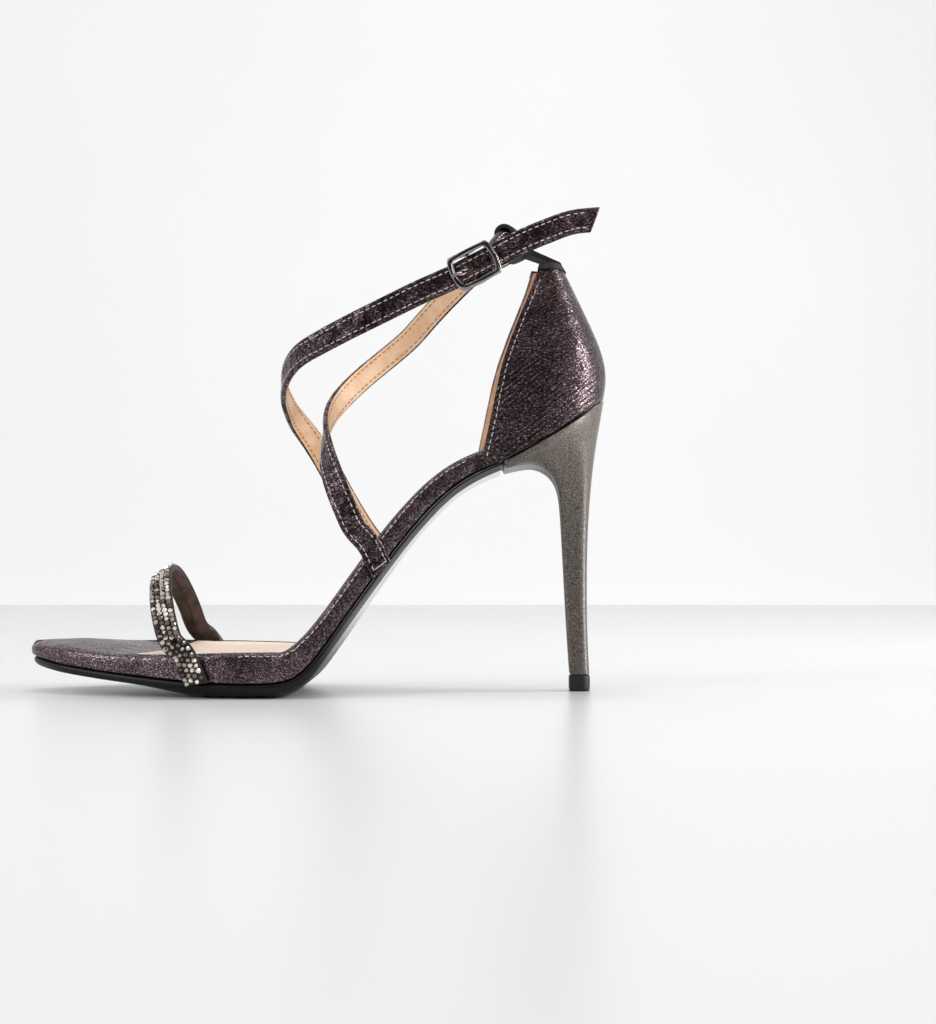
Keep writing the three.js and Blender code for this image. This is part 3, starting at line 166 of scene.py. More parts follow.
def pewter_leather(name, crease=0.0, grain_size=0.6, paler=0.0, matter=0.0, swelling=4.0):
    """paler moves the colours towards the ramp's pale end, foil tone and painted sparkle, and matter adds to
    the roughness.
    """
    material, tree, shader = new_material(name, Metallic=0.9)
    place = object_place(tree)
    flattened = add(tree, "ShaderNodeMapping", {"Vector": place, "Scale": (0.7, 0.7, 1.25)})
    stretched = flattened.outputs["Vector"]
    facets = add(tree, "ShaderNodeTexVoronoi", {
        "Vector": stretched, "Scale": per_length(grain_size * FACET_TO_GRAIN), "Randomness": 1.0,
    }, feature="SMOOTH_F1")
    grain = add(tree, "ShaderNodeTexNoise", {
        "Vector": stretched, "Scale": per_length(grain_size), "Detail": 4.0, "Roughness": 0.7,
    })
    cloud = add(tree, "ShaderNodeTexNoise", {"Vector": place, "Scale": per_length(CLOUD_SIZE), "Detail": 3.0})
    # Painted shade and sparkle on top of the foil's own tone: low grain near black, ridges near white.
    colour = ramp(tree, grain.outputs["Fac"], [
        (0.36 - paler, "#161112"), (0.48 - paler, "#3d3335"),
        (0.58 - paler, "#75676c"), (0.68 - paler, "#ead9df"),
    ])
    tint = ramp(tree, cloud.outputs["Fac"], [(0.35, "#b3a5a9"), (0.65, "#fff3f5")])
    mixed = add(tree, "ShaderNodeMix", {"Factor": 0.7, "A": colour, "B": tint},
                data_type="RGBA", blend_type="MULTIPLY")
    tree.links.new(mixed.outputs["Result"], shader.inputs["Base Color"])
    rough = add(tree, "ShaderNodeMapRange", {
        "Value": grain.outputs["Fac"], "From Min": 0.35, "From Max": 0.65,
        "To Min": 0.40 + matter, "To Max": 0.22 + matter,
    })
    tree.links.new(rough.outputs["Result"], shader.inputs["Roughness"])
    height = add(tree, "ShaderNodeMath", {0: facets.outputs["Distance"], 1: grain.outputs["Fac"]},
                 operation="ADD").outputs[0]
    if crease:
        turned = add(tree, "ShaderNodeMapping", {"Vector": place, "Rotation": (0, FOLD_TURN, 0)})
        folds = add(tree, "ShaderNodeTexWave", {
            "Vector": turned.outputs["Vector"], "Scale": per_length(FOLD_SIZE), "Distortion": 1.4,
            "Detail": 2.0, "Detail Scale": 1.6,
        }, bands_direction="Z")
        height_up = add(tree, "ShaderNodeSeparateXYZ", {"Vector": place}).outputs["Z"]
        mask = add(tree, "ShaderNodeMapRange", {
            "Value": height_up, "From Min": FOLDS_END, "From Max": FOLDS_FULL,
            "To Min": 0.0, "To Max": crease,
        })
        fold = add(tree, "ShaderNodeMath", {0: folds.outputs["Fac"], 1: mask.outputs["Result"]},
                   operation="MULTIPLY").outputs[0]
        height = add(tree, "ShaderNodeMath", {0: height, 1: fold}, operation="ADD").outputs[0]
    swell = add(tree, "ShaderNodeTexNoise", {"Vector": place, "Scale": per_length(SWELL_SIZE), "Detail": 1.5})
    waves = add(tree, "ShaderNodeBump", {
        "Height": swell.outputs["Fac"], "Strength": 1.0, "Distance": mm(swelling)})
    bump = add(tree, "ShaderNodeBump", {
        "Height": height, "Strength": 0.65, "Distance": mm(0.10), "Normal": waves.outputs["Normal"]})
    tree.links.new(bump.outputs["Normal"], shader.inputs["Normal"])
    return material


LEATHER = pewter_leather("pewter_foil_leather", paler=-0.015)
PLATFORM_LEATHER = pewter_leather("pewter_foil_wrap", grain_size=0.42, paler=0.02, matter=0.05, swelling=1.5)
COUNTER_LEATHER = pewter_leather("pewter_foil_leather_creased", crease=2.6, paler=-0.02, swelling=1.0)
print("made", LEATHER.name, PLATFORM_LEATHER.name, COUNTER_LEATHER.name)

# %% [markdown]
# ## Plain leathers
# The sock and the linings are undyed or brown-dyed goat skin, matte, with a pebble grain. A fine
# Voronoi pattern stands for the pebbles and a slow noise for the way the dye takes.

# %% Plain leathers
PEBBLE = 0.55
DYE_CLOUD = 4


def plain_leather(name, dark, pale, roughness, metallic=0.0):
    material, tree, shader = new_material(name, Roughness=roughness, Metallic=metallic)
    place = object_place(tree)
    pores = add(tree, "ShaderNodeTexVoronoi", {"Vector": place, "Scale": per_length(PEBBLE)})
    dye = add(tree, "ShaderNodeTexNoise", {"Vector": place, "Scale": per_length(DYE_CLOUD), "Detail": 4.0})
    colour = ramp(tree, dye.outputs["Fac"], [(0.30, dark), (0.70, pale)])
    tree.links.new(colour, shader.inputs["Base Color"])
    bump = add(tree, "ShaderNodeBump", {
        "Height": pores.outputs["Distance"], "Strength": 0.35, "Distance": mm(0.10),
    })
    tree.links.new(bump.outputs["Normal"], shader.inputs["Normal"])
    return material


SOCK = plain_leather("beige_sock_leather", "#ecd4c0", "#f5e3d4", 0.62)
LINING = plain_leather("tan_lining_leather", "#e4b890", "#f3d3b2", 0.50)
TOE_LINING = plain_leather("brown_metallic_lining", "#382c29", "#635149", 0.42, 0.55)
BAND = plain_leather("dark_stone_bed", "#171314", "#2a2324", 0.5, 0.3)
print("made", SOCK.name, LINING.name, TOE_LINING.name, BAND.name)

# %% [markdown]
# ## Soles, heel and metal
# The outsole is black moulded rubber, dull on the tread and polished along the waist, where its
# underside mirrors the table. The heel is moulded ABS under a pearl lacquer with fine flakes in it.
# The buckle is zinc, plated dark and polished, so it takes its look from the studio. Threads are
# waxed, which shows as a soft gloss, and the black line in the seat gets the same gloss. One function
# makes them all: a base colour that is flecked between two tones, at the size of the real fleck.

# %% Soles, heel and metal
def flecked(name, dark, pale, fleck, roughness, metallic, coat, bump_height=0.03):
    material, tree, shader = new_material(
        name, Roughness=roughness, Metallic=metallic, Coat_Weight=coat, Coat_Roughness=0.12)
    place = object_place(tree)
    flakes = add(tree, "ShaderNodeTexNoise", {
        "Vector": place, "Scale": per_length(fleck), "Detail": 2.0, "Roughness": 0.7,
    })
    colour = ramp(tree, flakes.outputs["Fac"], [(0.35, dark), (0.68, pale)])
    tree.links.new(colour, shader.inputs["Base Color"])
    bump = add(tree, "ShaderNodeBump", {
        "Height": flakes.outputs["Fac"], "Strength": 0.2, "Distance": mm(bump_height),
    })
    tree.links.new(bump.outputs["Normal"], shader.inputs["Normal"])
    return material


def polish_the_waist(material, low, high):
    """A clear coat that comes in between two heights, as the tread is dull and the waist polished."""
    tree = material.node_tree
    shader = tree.nodes["Principled BSDF"]
    shader.inputs["Specular IOR Level"].default_value = 0.28
    shader.inputs["Coat IOR"].default_value = 1.9
    height = add(tree, "ShaderNodeSeparateXYZ", {"Vector": object_place(tree)}).outputs["Z"]
    coat = add(tree, "ShaderNodeMapRange", {"Value": height, "From Min": low, "From Max": high})
    tree.links.new(coat.outputs["Result"], shader.inputs["Coat Weight"])


OUTSOLE = flecked("burnished_black_rubber", "#020202", "#070707", 2.0, 0.42, 0.0, 0.0)
polish_the_waist(OUTSOLE, low=mm(12), high=mm(30))
LIFT = flecked("matte_black_rubber", "#0a0a0a", "#161616", 0.8, 0.6, 0.0, 0.0)
LACQUER = flecked("pearl_grey_lacquer", "#2d2825", "#8c827a", 0.45, 0.40, 0.55, 0.10)
GUNMETAL = flecked("polished_gunmetal", "#8d888a", "#a5a0a2", 6.0, 0.16, 1.0, 0.0, 0.01)
SEAT_JOINT_BLACK = flecked("black_seat_joint", "#080808", "#141414", 0.7, 0.45, 0.0, 0.0)
THREAD = flecked("pale_waxed_thread", "#a39899", "#efe7e5", 0.9, 0.45, 0.0, 0.0)
TAN_THREAD = flecked("tan_thread", "#8a5c38", "#b5804f", 0.6, 0.6, 0.0, 0.0)
DARK_THREAD = flecked("dark_thread", "#120d0c", "#241a18", 0.4, 0.6, 0.0, 0.0)
print("flecked materials are ready, such as", LACQUER.name, "and", GUNMETAL.name)

# %% [markdown]
# ## Woven elastic
# The loop on the counter is black elastic, woven round rubber threads. The threads show as fine
# ribs, so a wave pattern across the loop gives both the ribs' height and their two close tones.

# %% Woven elastic
RIB_SIZE = 5


def woven_elastic():
    material, tree, shader = new_material("black_woven_elastic", Roughness=0.75)
    place = object_place(tree)
    ribs = add(tree, "ShaderNodeTexWave", {
        "Vector": place, "Scale": per_length(RIB_SIZE), "Distortion": 0.6,
    }, bands_direction="Y")
    colour = ramp(tree, ribs.outputs["Fac"], [(0.1, "#070707"), (0.9, "#1d1c1d")])
    tree.links.new(colour, shader.inputs["Base Color"])
    bump = add(tree, "ShaderNodeBump", {"Height": ribs.outputs["Fac"], "Strength": 0.5, "Distance": mm(0.2)})
    tree.links.new(bump.outputs["Normal"], shader.inputs["Normal"])
    return material


ELASTIC = woven_elastic()
print("made", ELASTIC.name)

# %% [markdown]
# ## Stones
# The band over the toes is set with small foil-backed stones in a smoky metallic tone. Each is cut
# flat on top with a sloping crown. Every stone mirrors another part of the room, so some are nearly
# white and some nearly black. Each stone's random tone, from near black to near white, paints that
# reflection into its colour.

# %% Stones
def stone_with_painted_reflections():
    material, tree, shader = new_material("smoky_foiled_stone", Roughness=0.10, Metallic=0.9)
    stone = add(tree, "ShaderNodeNewGeometry")
    # Painted reflection: each stone's random tone, near black to near white, stands in for what it mirrors.
    colour = ramp(tree, stone.outputs["Random Per Island"], [
        (0.0, "#3a3331"), (0.30, "#857a74"), (0.60, "#ccc0b8"), (1.0, "#fff6ee"),
    ])
    tree.links.new(colour, shader.inputs["Base Color"])
    return material


STONE = stone_with_painted_reflections()
print("made", STONE.name)

# %% [markdown]
# ## Taking a solid over
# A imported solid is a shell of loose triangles. A copy of it is welded, its triangles are paired to
# quads again, and its real edges are creased, so that a subdivision rounds the shape and keeps the
# edges. That is how a lasted upper looks: smooth over the form, crisp where the leather is cut.

# %% Taking a solid over
def clear_selection():
    if bpy.context.object and bpy.context.object.mode != "OBJECT":
        bpy.ops.object.mode_set(mode="OBJECT")
    bpy.ops.object.select_all(action="DESELECT")


def choose(piece):
    clear_selection()
    piece.select_set(True)
    bpy.context.view_layer.objects.active = piece


WELD_REACH = mm(0.01)
FLAT_TURN = math.radians(30)
QUAD_TURN = math.radians(80)
SMOOTH_TURN = math.radians(38)


def welded_copy(node, name):
    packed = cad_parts[node]
    piece = bpy.data.objects.new(name, packed.data.copy())
    piece.data.transform(packed.matrix_world)
    piece.data.materials.clear()
    bpy.context.scene.collection.objects.link(piece)
    choose(piece)
    bpy.ops.object.mode_set(mode="EDIT")
    bpy.ops.mesh.select_all(action="SELECT")
    bpy.ops.mesh.remove_doubles(threshold=WELD_REACH)
    bpy.ops.object.mode_set(mode="OBJECT")
    return piece


def pair_triangles(piece):
    choose(piece)
    bpy.ops.object.mode_set(mode="EDIT")
    bpy.ops.mesh.select_all(action="SELECT")
    bpy.ops.mesh.tris_convert_to_quads(face_threshold=FLAT_TURN, shape_threshold=QUAD_TURN)
    bpy.ops.object.mode_set(mode="OBJECT")


def round_off(piece, levels, sharp=35, crease=0.8):
    choose(piece)
    bpy.ops.object.mode_set(mode="EDIT")
    bpy.ops.mesh.select_mode(type="EDGE")
    bpy.ops.mesh.select_all(action="DESELECT")
    bpy.ops.mesh.edges_select_sharp(sharpness=math.radians(sharp))
    bpy.ops.transform.edge_crease(value=crease)
    bpy.ops.mesh.select_mode(type="VERT")
    bpy.ops.object.mode_set(mode="OBJECT")
    modifier = piece.modifiers.new("rounding", "SUBSURF")
    modifier.levels = levels
    modifier.render_levels = levels
    bpy.ops.object.modifier_apply(modifier=modifier.name)
    bpy.ops.object.shade_smooth_by_angle(angle=SMOOTH_TURN)


# %% [markdown]
# ## Handing a piece over
# Each finished piece gets its material and rides on the shoe's one body. A piece that takes a
# solid's place says so, and the solid is then hidden in the render.

# %% Handing a piece over
def hand_over(piece, material, slot, *nodes):
    piece.data.materials.clear()
    piece.data.materials.append(material)
    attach(piece, "root")
    if nodes:
        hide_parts(*nodes)


def dressed(node, name, material, slot, levels=2, sharp=35, crease=0.8):
    piece = welded_copy(node, name)
    pair_triangles(piece)
    round_off(piece, levels, sharp, crease)
    hand_over(piece, material, slot, node)
    print(name, len(piece.data.polygons), "faces")
    return piece


# %% [markdown]
# ## Sole, heel, counter and buckle
# These keep the form of their solids. Only the finish and the roundness of their edges are added.
# A lower crease gives a rounder edge, as on the wrapped platform, and a higher one a crisper edge,
# as on the buckle.

# %% Sole, heel, counter and buckle
platform = dressed("platform", "wrapped_platform", PLATFORM_LEATHER, "upper_leather", crease=0.45)
dressed("sock", "insole_sock", SOCK, "sock_leather", levels=1)
dressed("outsole", "black_outsole", OUTSOLE, "sole_black")
dressed("heel", "lacquered_heel", LACQUER, "heel_lacquer", sharp=50)
dressed("top_lift", "heel_lift", LIFT, "lift_black", levels=1, sharp=50)
counter = dressed("counter", "heel_counter", COUNTER_LEATHER, "upper_leather")
dressed("heel_tunnel", "elastic_tunnel", ELASTIC, "elastic_black", levels=1)
dressed("buckle_frame", "buckle_frame_polished", GUNMETAL, "gunmetal", levels=1, sharp=25, crease=0.9)
dressed("buckle_prong", "buckle_prong_polished", GUNMETAL, "gunmetal", levels=1, sharp=60)

# %% [markdown]
# ## Reading a strap's edges
# A strap is a long band with eight sharp edges along it. Walking along those edges from one end
# gives the two borders of its outer face and the two of its inner face, ring by ring. Where an
# edge meets others, the walk takes the straightest one, and it ends where the line turns off.

# %% Reading a strap's edges
SHARP = math.radians(24)
STRAIGHT_ENOUGH = 0.35


def sharp_lines(piece):
    """The places of the mesh's points, and for each point its neighbours over sharp edges."""
    mesh = bmesh.new()
    mesh.from_mesh(piece.data)
    linked = {}
    for edge in mesh.edges:
        if len(edge.link_faces) == 2 and edge.calc_face_angle() > SHARP:
            first, second = edge.verts
            linked.setdefault(first.index, []).append(second.index)
            linked.setdefault(second.index, []).append(first.index)
    place = {vert.index: vert.co.copy() for vert in mesh.verts}
    mesh.free()
    return linked, place


def walk_on(linked, place, walk, past_end):
    """Goes on along the straightest sharp edge until the line turns off or past_end(place) holds."""
    while not past_end(place[walk[-1]]):
        onward = (place[walk[-1]] - place[walk[-2]]).normalized()
        turns = {
            other: (place[other] - place[walk[-1]]).normalized().dot(onward)
            for other in linked[walk[-1]] if other not in walk
        }
        straightest = max(turns, key=turns.get, default=None)
        if straightest is None or turns[straightest] < STRAIGHT_ENOUGH:
            break
        walk.append(straightest)
    return walk


# %% [markdown]
# ## Borders of a strap
# The end of a strap is a small cap. Its corners start the four walks, two on the outer face and two
# on the inner one. The pair that lies farther out from the shoe's middle is the outer one.

# %% Borders of a strap
CAP_WIDTH = mm(4)


def cap_pairs(linked, place, at_cap):
    """The corners of a band's end, as the pair of the outer face and the pair of the inner face."""
    corners = {
        index for index, others in linked.items() if len(others) > 2 and at_cap(place[index])
    }
    middle = sum((place[index] for index in corners), Vector()) / len(corners)
    wide = []
    for index in corners:
        for other in linked[index]:
            if other in corners and index < other and (place[index] - place[other]).length > CAP_WIDTH:
                wide.append((index, other))
    outward = Vector((0, math.copysign(1, middle.y), 0))
    wide.sort(key=lambda pair: -((place[pair[0]] + place[pair[1]]) / 2 - middle).dot(outward))
    pairs = [sorted(pair, key=lambda index: place[index].x) for pair in wide[:2]]
    return pairs, corners


def strap_borders(piece, at_start, past_end, at_end=None):
    """Outer and inner borders of the band, from the end for which at_start(place) holds."""
    linked, place = sharp_lines(piece)
    pairs, corners = cap_pairs(linked, place, at_start)
    walks = {}
    for start in pairs[0] + pairs[1]:
        first = next(other for other in linked[start] if other not in corners)
        walks[start] = walk_on(linked, place, [start, first], past_end)
    steps = min(len(walk) for walk in walks.values())
    sides = [[[place[index] for index in walks[start][:steps]] for start in pair] for pair in pairs]
    if at_end:
        for side, ends in zip(sides, cap_pairs(linked, place, at_end)[0]):
            for border, end in zip(side, ends):
                border.append(place[end])
    return sides


# %% [markdown]
# ## A band's face
# Stitches, stones and linings are laid out along a band by its own length, as on the cutting table.
# The class below answers one question: which place, and which way along and out, belongs to this
# length along the face and this share across it.

# %% A band's face
MIDDLE = 0.5


class Band:
    """A band's face, laid out by its length. side is 0 for the outer face and 1 for the inner one."""

    def __init__(self, sides, side):
        near, far = sides[side]
        other = sides[1 - side]
        self.middles = [(a + b) / 2 for a, b in zip(near, far)]
        self.across = [(b - a) for a, b in zip(near, far)]
        behind = [(a + b) / 2 for a, b in zip(*other)]
        self.faces = [(m - b).normalized() for m, b in zip(self.middles, behind)]
        self.reach = [0.0]
        for before, after in zip(self.middles, self.middles[1:]):
            self.reach.append(self.reach[-1] + (after - before).length)
        self.length = self.reach[-1]

    def at(self, reach, share):
        """Place, direction along the band and outward direction there. share goes across it."""
        step = 0
        while step < len(self.reach) - 2 and self.reach[step + 1] < reach:
            step += 1
        part = (reach - self.reach[step]) / max(self.reach[step + 1] - self.reach[step], 1e-9)
        middle = self.middles[step].lerp(self.middles[step + 1], part)
        across = self.across[step].lerp(self.across[step + 1], part)
        along = (self.middles[step + 1] - self.middles[step]).normalized()
        out = self.faces[step].lerp(self.faces[step + 1], part)
        out = (out - along * out.dot(along)).normalized()
        return middle + across * (share - MIDDLE), along, out


STRAP_FOOT = mm(60)
TOE_CAP = mm(6.6)
TOE_KNEE = mm(18)


def never(place):
    return False


LANDINGS = {
    "cross_strap": (lambda place: place.z < STRAP_FOOT, never, None),
    "ankle_strap": (lambda place: place.z < STRAP_FOOT, never, None),
    "toe_strap": (
        lambda place: place.y < 0 and place.z < TOE_CAP,
        lambda place: place.y > 0 and place.z < TOE_KNEE,
        lambda place: place.y > 0 and place.z < TOE_CAP,
    ),
}
bands = {}
for node, ends in LANDINGS.items():
    raw = welded_copy(node, "raw_" + node)
    sides = strap_borders(raw, *ends)
    bands[node] = [Band(sides, 0), Band(sides, 1)]
    print(node, round(bands[node][0].length * 1000), "mm along its outer face")
    bpy.data.objects.remove(raw)

# %% [markdown]
# ## Straps
# Each strap is two plies of leather. The outer ply keeps the solid's form. The inner ply is a thin
# skin of lining leather: the faces that look to the foot are kept from a copy of the solid and
# given a quarter of a millimetre of thickness. Where the strap runs through the buckle there is
# no room for it, so it is left out there.

# %% Straps
SAME_WAY = 0.85


def lining_from(node, name, faces_in, material, slot, thickness=mm(0.25)):
    piece = welded_copy(node, name)
    pair_triangles(piece)
    choose(piece)
    mesh = bmesh.new()
    mesh.from_mesh(piece.data)
    kept = [face for face in mesh.faces if faces_in(face.calc_center_median(), face.normal)]
    keep = set(kept)
    bmesh.ops.delete(mesh, geom=[face for face in mesh.faces if face not in keep], context="FACES")
    mesh.to_mesh(piece.data)
    mesh.free()
    wall = piece.modifiers.new("ply", "SOLIDIFY")
    wall.thickness = thickness
    wall.offset = 1
    bpy.ops.object.modifier_apply(modifier=wall.name)
    round_off(piece, 1)
    hand_over(piece, material, slot)
    print(name, len(piece.data.polygons), "faces")


buckle_low, buckle_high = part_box("buckle_frame")


def band_faces(band):
    """Picks the faces of one side of the band, but not those hidden in the buckle."""
    def picked(centre, normal):
        if buckle_low.x < centre.x < buckle_high.x and centre.y < 0 and centre.z > buckle_low.z:
            return False
        nearest = min(range(len(band.middles)), key=lambda i: (band.middles[i] - centre).length)
        return normal.dot(band.faces[nearest]) > SAME_WAY
    return picked


dressed("cross_strap", "cross_strap_leather", LEATHER, "upper_leather")
dressed("ankle_strap", "ankle_strap_leather", LEATHER, "upper_leather")
toe_strap = dressed("toe_strap", "toe_band", BAND, "stone_setting")
lining_from("cross_strap", "cross_strap_lining", band_faces(bands["cross_strap"][1]), LINING, "sock_leather")
lining_from("ankle_strap", "ankle_strap_lining", band_faces(bands["ankle_strap"][1]), LINING, "sock_leather")
lining_from("toe_strap", "toe_strap_lining", band_faces(bands["toe_strap"][1]), TOE_LINING, "stone_setting")

# %% [markdown]
# ## Lining of the counter
# The counter is lined with the same tan leather. Its inner faces are those that look to the
# counter's own axis, a line through the heel of the foot that leans back a little on its way up.

# %% Lining of the counter
AXIS_REACH = mm(95)
AXIS_HEIGHT = mm(100)
AXIS_LEAN = 0.25
LOOKS_IN = 0.3
LOOKS_UP = 0.9


def counter_inside(centre, normal):
    """Faces that look to the counter's own axis, which leans back with its height."""
    axis = AXIS_REACH + AXIS_LEAN * (centre.z - AXIS_HEIGHT)
    inward = Vector((axis - centre.x, -centre.y, 0)).normalized()
    return normal.dot(inward) > LOOKS_IN and abs(normal.z) < LOOKS_UP


lining_from("counter", "counter_lining", counter_inside, LINING, "sock_leather", thickness=mm(0.3))

# %% [markdown]
# ## Cover of the elastic
# The elastic loop is caught under a black cover that caps the counter's top. A copy of the
# counter is bisected a few millimetres under its top. Its outer and upper faces are kept and get a
# thin wall outward, so the lining stays open to the foot.

# %% Cover of the elastic
COVER_DEPTH = mm(2.4)
COVER_WALL = mm(0.6)
LOOKS_FORWARD = -0.5


def elastic_cover():
    piece = welded_copy("counter", "elastic_cover")
    top = max(vert.co.z for vert in piece.data.vertices)
    choose(piece)
    bpy.ops.object.mode_set(mode="EDIT")
    bpy.ops.mesh.select_all(action="SELECT")
    bpy.ops.mesh.bisect(plane_co=(0, 0, top - COVER_DEPTH), plane_no=(0, 0, 1), clear_inner=True)
    bpy.ops.mesh.select_all(action="DESELECT")
    bpy.ops.mesh.select_mode(type="FACE")
    shape = bmesh.from_edit_mesh(piece.data)
    for face in shape.faces:
        inside = counter_inside(face.calc_center_median(), face.normal)
        face.select_set(inside or face.normal.x < LOOKS_FORWARD)
    bmesh.update_edit_mesh(piece.data)
    bpy.ops.mesh.delete(type="FACE")
    bpy.ops.object.mode_set(mode="OBJECT")
    wall = piece.modifiers.new("cover", "SOLIDIFY")
    wall.thickness = COVER_WALL
    wall.offset = 1
    bpy.ops.object.modifier_apply(modifier=wall.name)
    round_off(piece, 1)
    hand_over(piece, ELASTIC, "elastic_black")
    print("elastic_cover", len(piece.data.polygons), "faces")


elastic_cover()

# %% [markdown]
# ## A stitch and a stone
# A stitch is modelled once, as a short bead of thread with tapered ends. A stone is modelled once,
# as a cut cone: the wide girdle, the sloping crown and the flat table, with a foot under it. The
# sizes below are shares of the stitch's length and of the stone's width.

# %% A stitch and a stone
STITCH_BODY = 0.6
STITCH_TAPER = 0.2
STONE_TABLE = 0.28
STONE_CROWN = 0.28
STONE_MIDDLE = 0.26
STONE_FOOT = 0.2
STITCH_TIP = 0.45
FOOT_TIP = 0.8
FACES_END = 0.9


def stitch_pattern(length, radius):
    clear_selection()
    bpy.ops.mesh.primitive_cylinder_add(
        vertices=6, radius=radius, depth=length * STITCH_BODY, location=(0, 0, 0))
    stitch = bpy.context.object
    bpy.ops.object.mode_set(mode="EDIT")
    for end in (1, -1):
        bpy.ops.mesh.select_all(action="DESELECT")
        bpy.ops.mesh.select_mode(type="FACE")
        shape = bmesh.from_edit_mesh(stitch.data)
        for face in shape.faces:
            face.select_set(face.normal.z * end > FACES_END)
        bmesh.update_edit_mesh(stitch.data)
        bpy.ops.mesh.extrude_region_move(
            TRANSFORM_OT_translate={"value": (0, 0, end * length * STITCH_TAPER)})
        bpy.ops.transform.resize(value=(STITCH_TIP, STITCH_TIP, 1))
    bpy.ops.object.mode_set(mode="OBJECT")
    bpy.ops.object.transform_apply()
    return stitch


def stone_pattern(width):
    clear_selection()
    bpy.ops.mesh.primitive_cone_add(
        vertices=8, radius1=width / 2, radius2=width * STONE_TABLE, depth=width * STONE_CROWN,
        location=(0, 0, width * STONE_MIDDLE))
    stone = bpy.context.object
    bpy.ops.object.mode_set(mode="EDIT")
    bpy.ops.mesh.select_mode(type="FACE")
    bpy.ops.mesh.select_all(action="DESELECT")
    shape = bmesh.from_edit_mesh(stone.data)
    for face in shape.faces:
        face.select_set(face.normal.z < -FACES_END)
    bmesh.update_edit_mesh(stone.data)
    bpy.ops.mesh.extrude_region_move(TRANSFORM_OT_translate={"value": (0, 0, -width * STONE_FOOT)})
    bpy.ops.transform.resize(value=(FOOT_TIP, FOOT_TIP, 1))
    bpy.ops.object.mode_set(mode="OBJECT")
    bpy.ops.object.transform_apply()
    return stone


# %% [markdown]
# ## Copies along a line
# A matrix lays the pattern on its place, along the line and away from the surface. Each copy gets
# its own mesh with that matrix worked in, and the copies are joined to one piece at the origin.

# %% Copies along a line
def stand(place, along, out):
    """The matrix that lays a pattern's z along a line and its x away from the surface."""
    side = along.cross(out).normalized()
    front = side.cross(along).normalized()
    return Matrix((
        (front.x, side.x, along.x, place.x),
        (front.y, side.y, along.y, place.y),
        (front.z, side.z, along.z, place.z),
        (0, 0, 0, 1),
    ))


def copies(pattern, matrices, name, material, slot):
    made = []
    for matrix in matrices:
        copy = pattern.copy()
        copy.data = pattern.data.copy()
        copy.data.transform(matrix)
        bpy.context.scene.collection.objects.link(copy)
        made.append(copy)
    bpy.data.objects.remove(pattern)
    clear_selection()
    for copy in made:
        copy.select_set(True)
    bpy.context.view_layer.objects.active = made[0]
    bpy.ops.object.join()
    piece = bpy.context.object
    piece.name = name
    hand_over(piece, material, slot)
    print(name, len(made), "copies")


# %% [markdown]
# ## Stitches on the straps
# Lockstitch shows as a row of short dashes close to each edge, pale on the pewter leather and brown
# on the lining. The rows follow the band, and a short row across it holds each strap's foot. The
# thread is drawn a little thicker than real thread, so that it shows at the photograph's size.

# %% Stitches on the straps
STITCH_LENGTH = mm(1.5)
STITCH_PITCH = mm(2.3)
STITCH_RADIUS = mm(0.18)
STITCH_INSET = mm(1.2)
STITCH_SINK = 0.3
PLY = mm(0.25)
CROSS_SHARES = (0.24, 0.42, 0.60, 0.78)
FOOT_ROW = mm(1.6)
ROW_START = mm(2.4)
ROW_END = mm(3.2)
LINING_START = mm(12)
LINING_END = mm(2)


def band_stitches(band, start, end, lift=0.0):
    matrices = []
    for side in (0, 1):
        reach = start
        while reach < end:
            width = band.across[0].length
            share = STITCH_INSET / width if side == 0 else 1 - STITCH_INSET / width
            place, along, out = band.at(reach, share)
            matrices.append(stand(place + out * (lift + STITCH_RADIUS * STITCH_SINK), along, out))
            reach += STITCH_PITCH
    return matrices


def cross_row(band, reach):
    """A short row of stitches straight across the band."""
    matrices = []
    for share in CROSS_SHARES:
        place, along, out = band.at(reach, share)
        matrices.append(stand(place + out * STITCH_RADIUS * STITCH_SINK, along.cross(out), out))
    return matrices


strap_rows = []
lining_rows = []
for node in ("cross_strap", "ankle_strap"):
    outside, inside = bands[node]
    strap_rows += band_stitches(outside, ROW_START, outside.length - ROW_END)
    strap_rows += cross_row(outside, FOOT_ROW)
    lining_rows += band_stitches(inside, LINING_START, inside.length - LINING_END, lift=PLY)


def plain_stitch():
    return stitch_pattern(STITCH_LENGTH, STITCH_RADIUS)


copies(plain_stitch(), strap_rows, "strap_stitches", THREAD, "upper_leather")
copies(plain_stitch(), lining_rows, "lining_stitches", TAN_THREAD, "sock_leather")

# %% [markdown]
# ## Finding an edge with rays
# The counter and the platform have no band to follow, so a ray from the side feels for the surface.
# Points along the found line then get stitches at an even pitch, carried on from one point to the
# next.

# %% Finding an edge with rays
FAR_OUT = mm(200)
FINE_STEP = mm(0.25)
LONGEST_LINK = mm(6)
SHORTEST_LINK = 1e-7


def touch(surface, origin, direction):
    place, normal, _, _ = surface.ray_cast(Vector(origin), Vector(direction))
    return (place, normal) if place else None


def touch_from_side(surface, side, x, z):
    """Where a ray from the inner side, 1, or the outer side, -1, meets the surface."""
    return touch(surface, (x, side * FAR_OUT, z), (0, -side, 0))


def row_matrices(points):
    """Stitch places along a line of (place, normal) points, at an even pitch."""
    matrices = []
    spare = 0.0
    for (place, normal), (after, _) in zip(points, points[1:]):
        along = after - place
        if along.length > LONGEST_LINK or along.length < SHORTEST_LINK:
            continue
        reach = spare
        while reach < along.length:
            matrices.append(stand(place.lerp(after, reach / along.length), along.normalized(), normal))
            reach += STITCH_PITCH
        spare = reach - along.length
    return matrices


# %% [markdown]
# ## Stitches on the counter and the platform
# One row follows the counter's front edge, and one runs along the platform under its rim. The rim
# is the highest place where the side still stands out to nearly its full width.

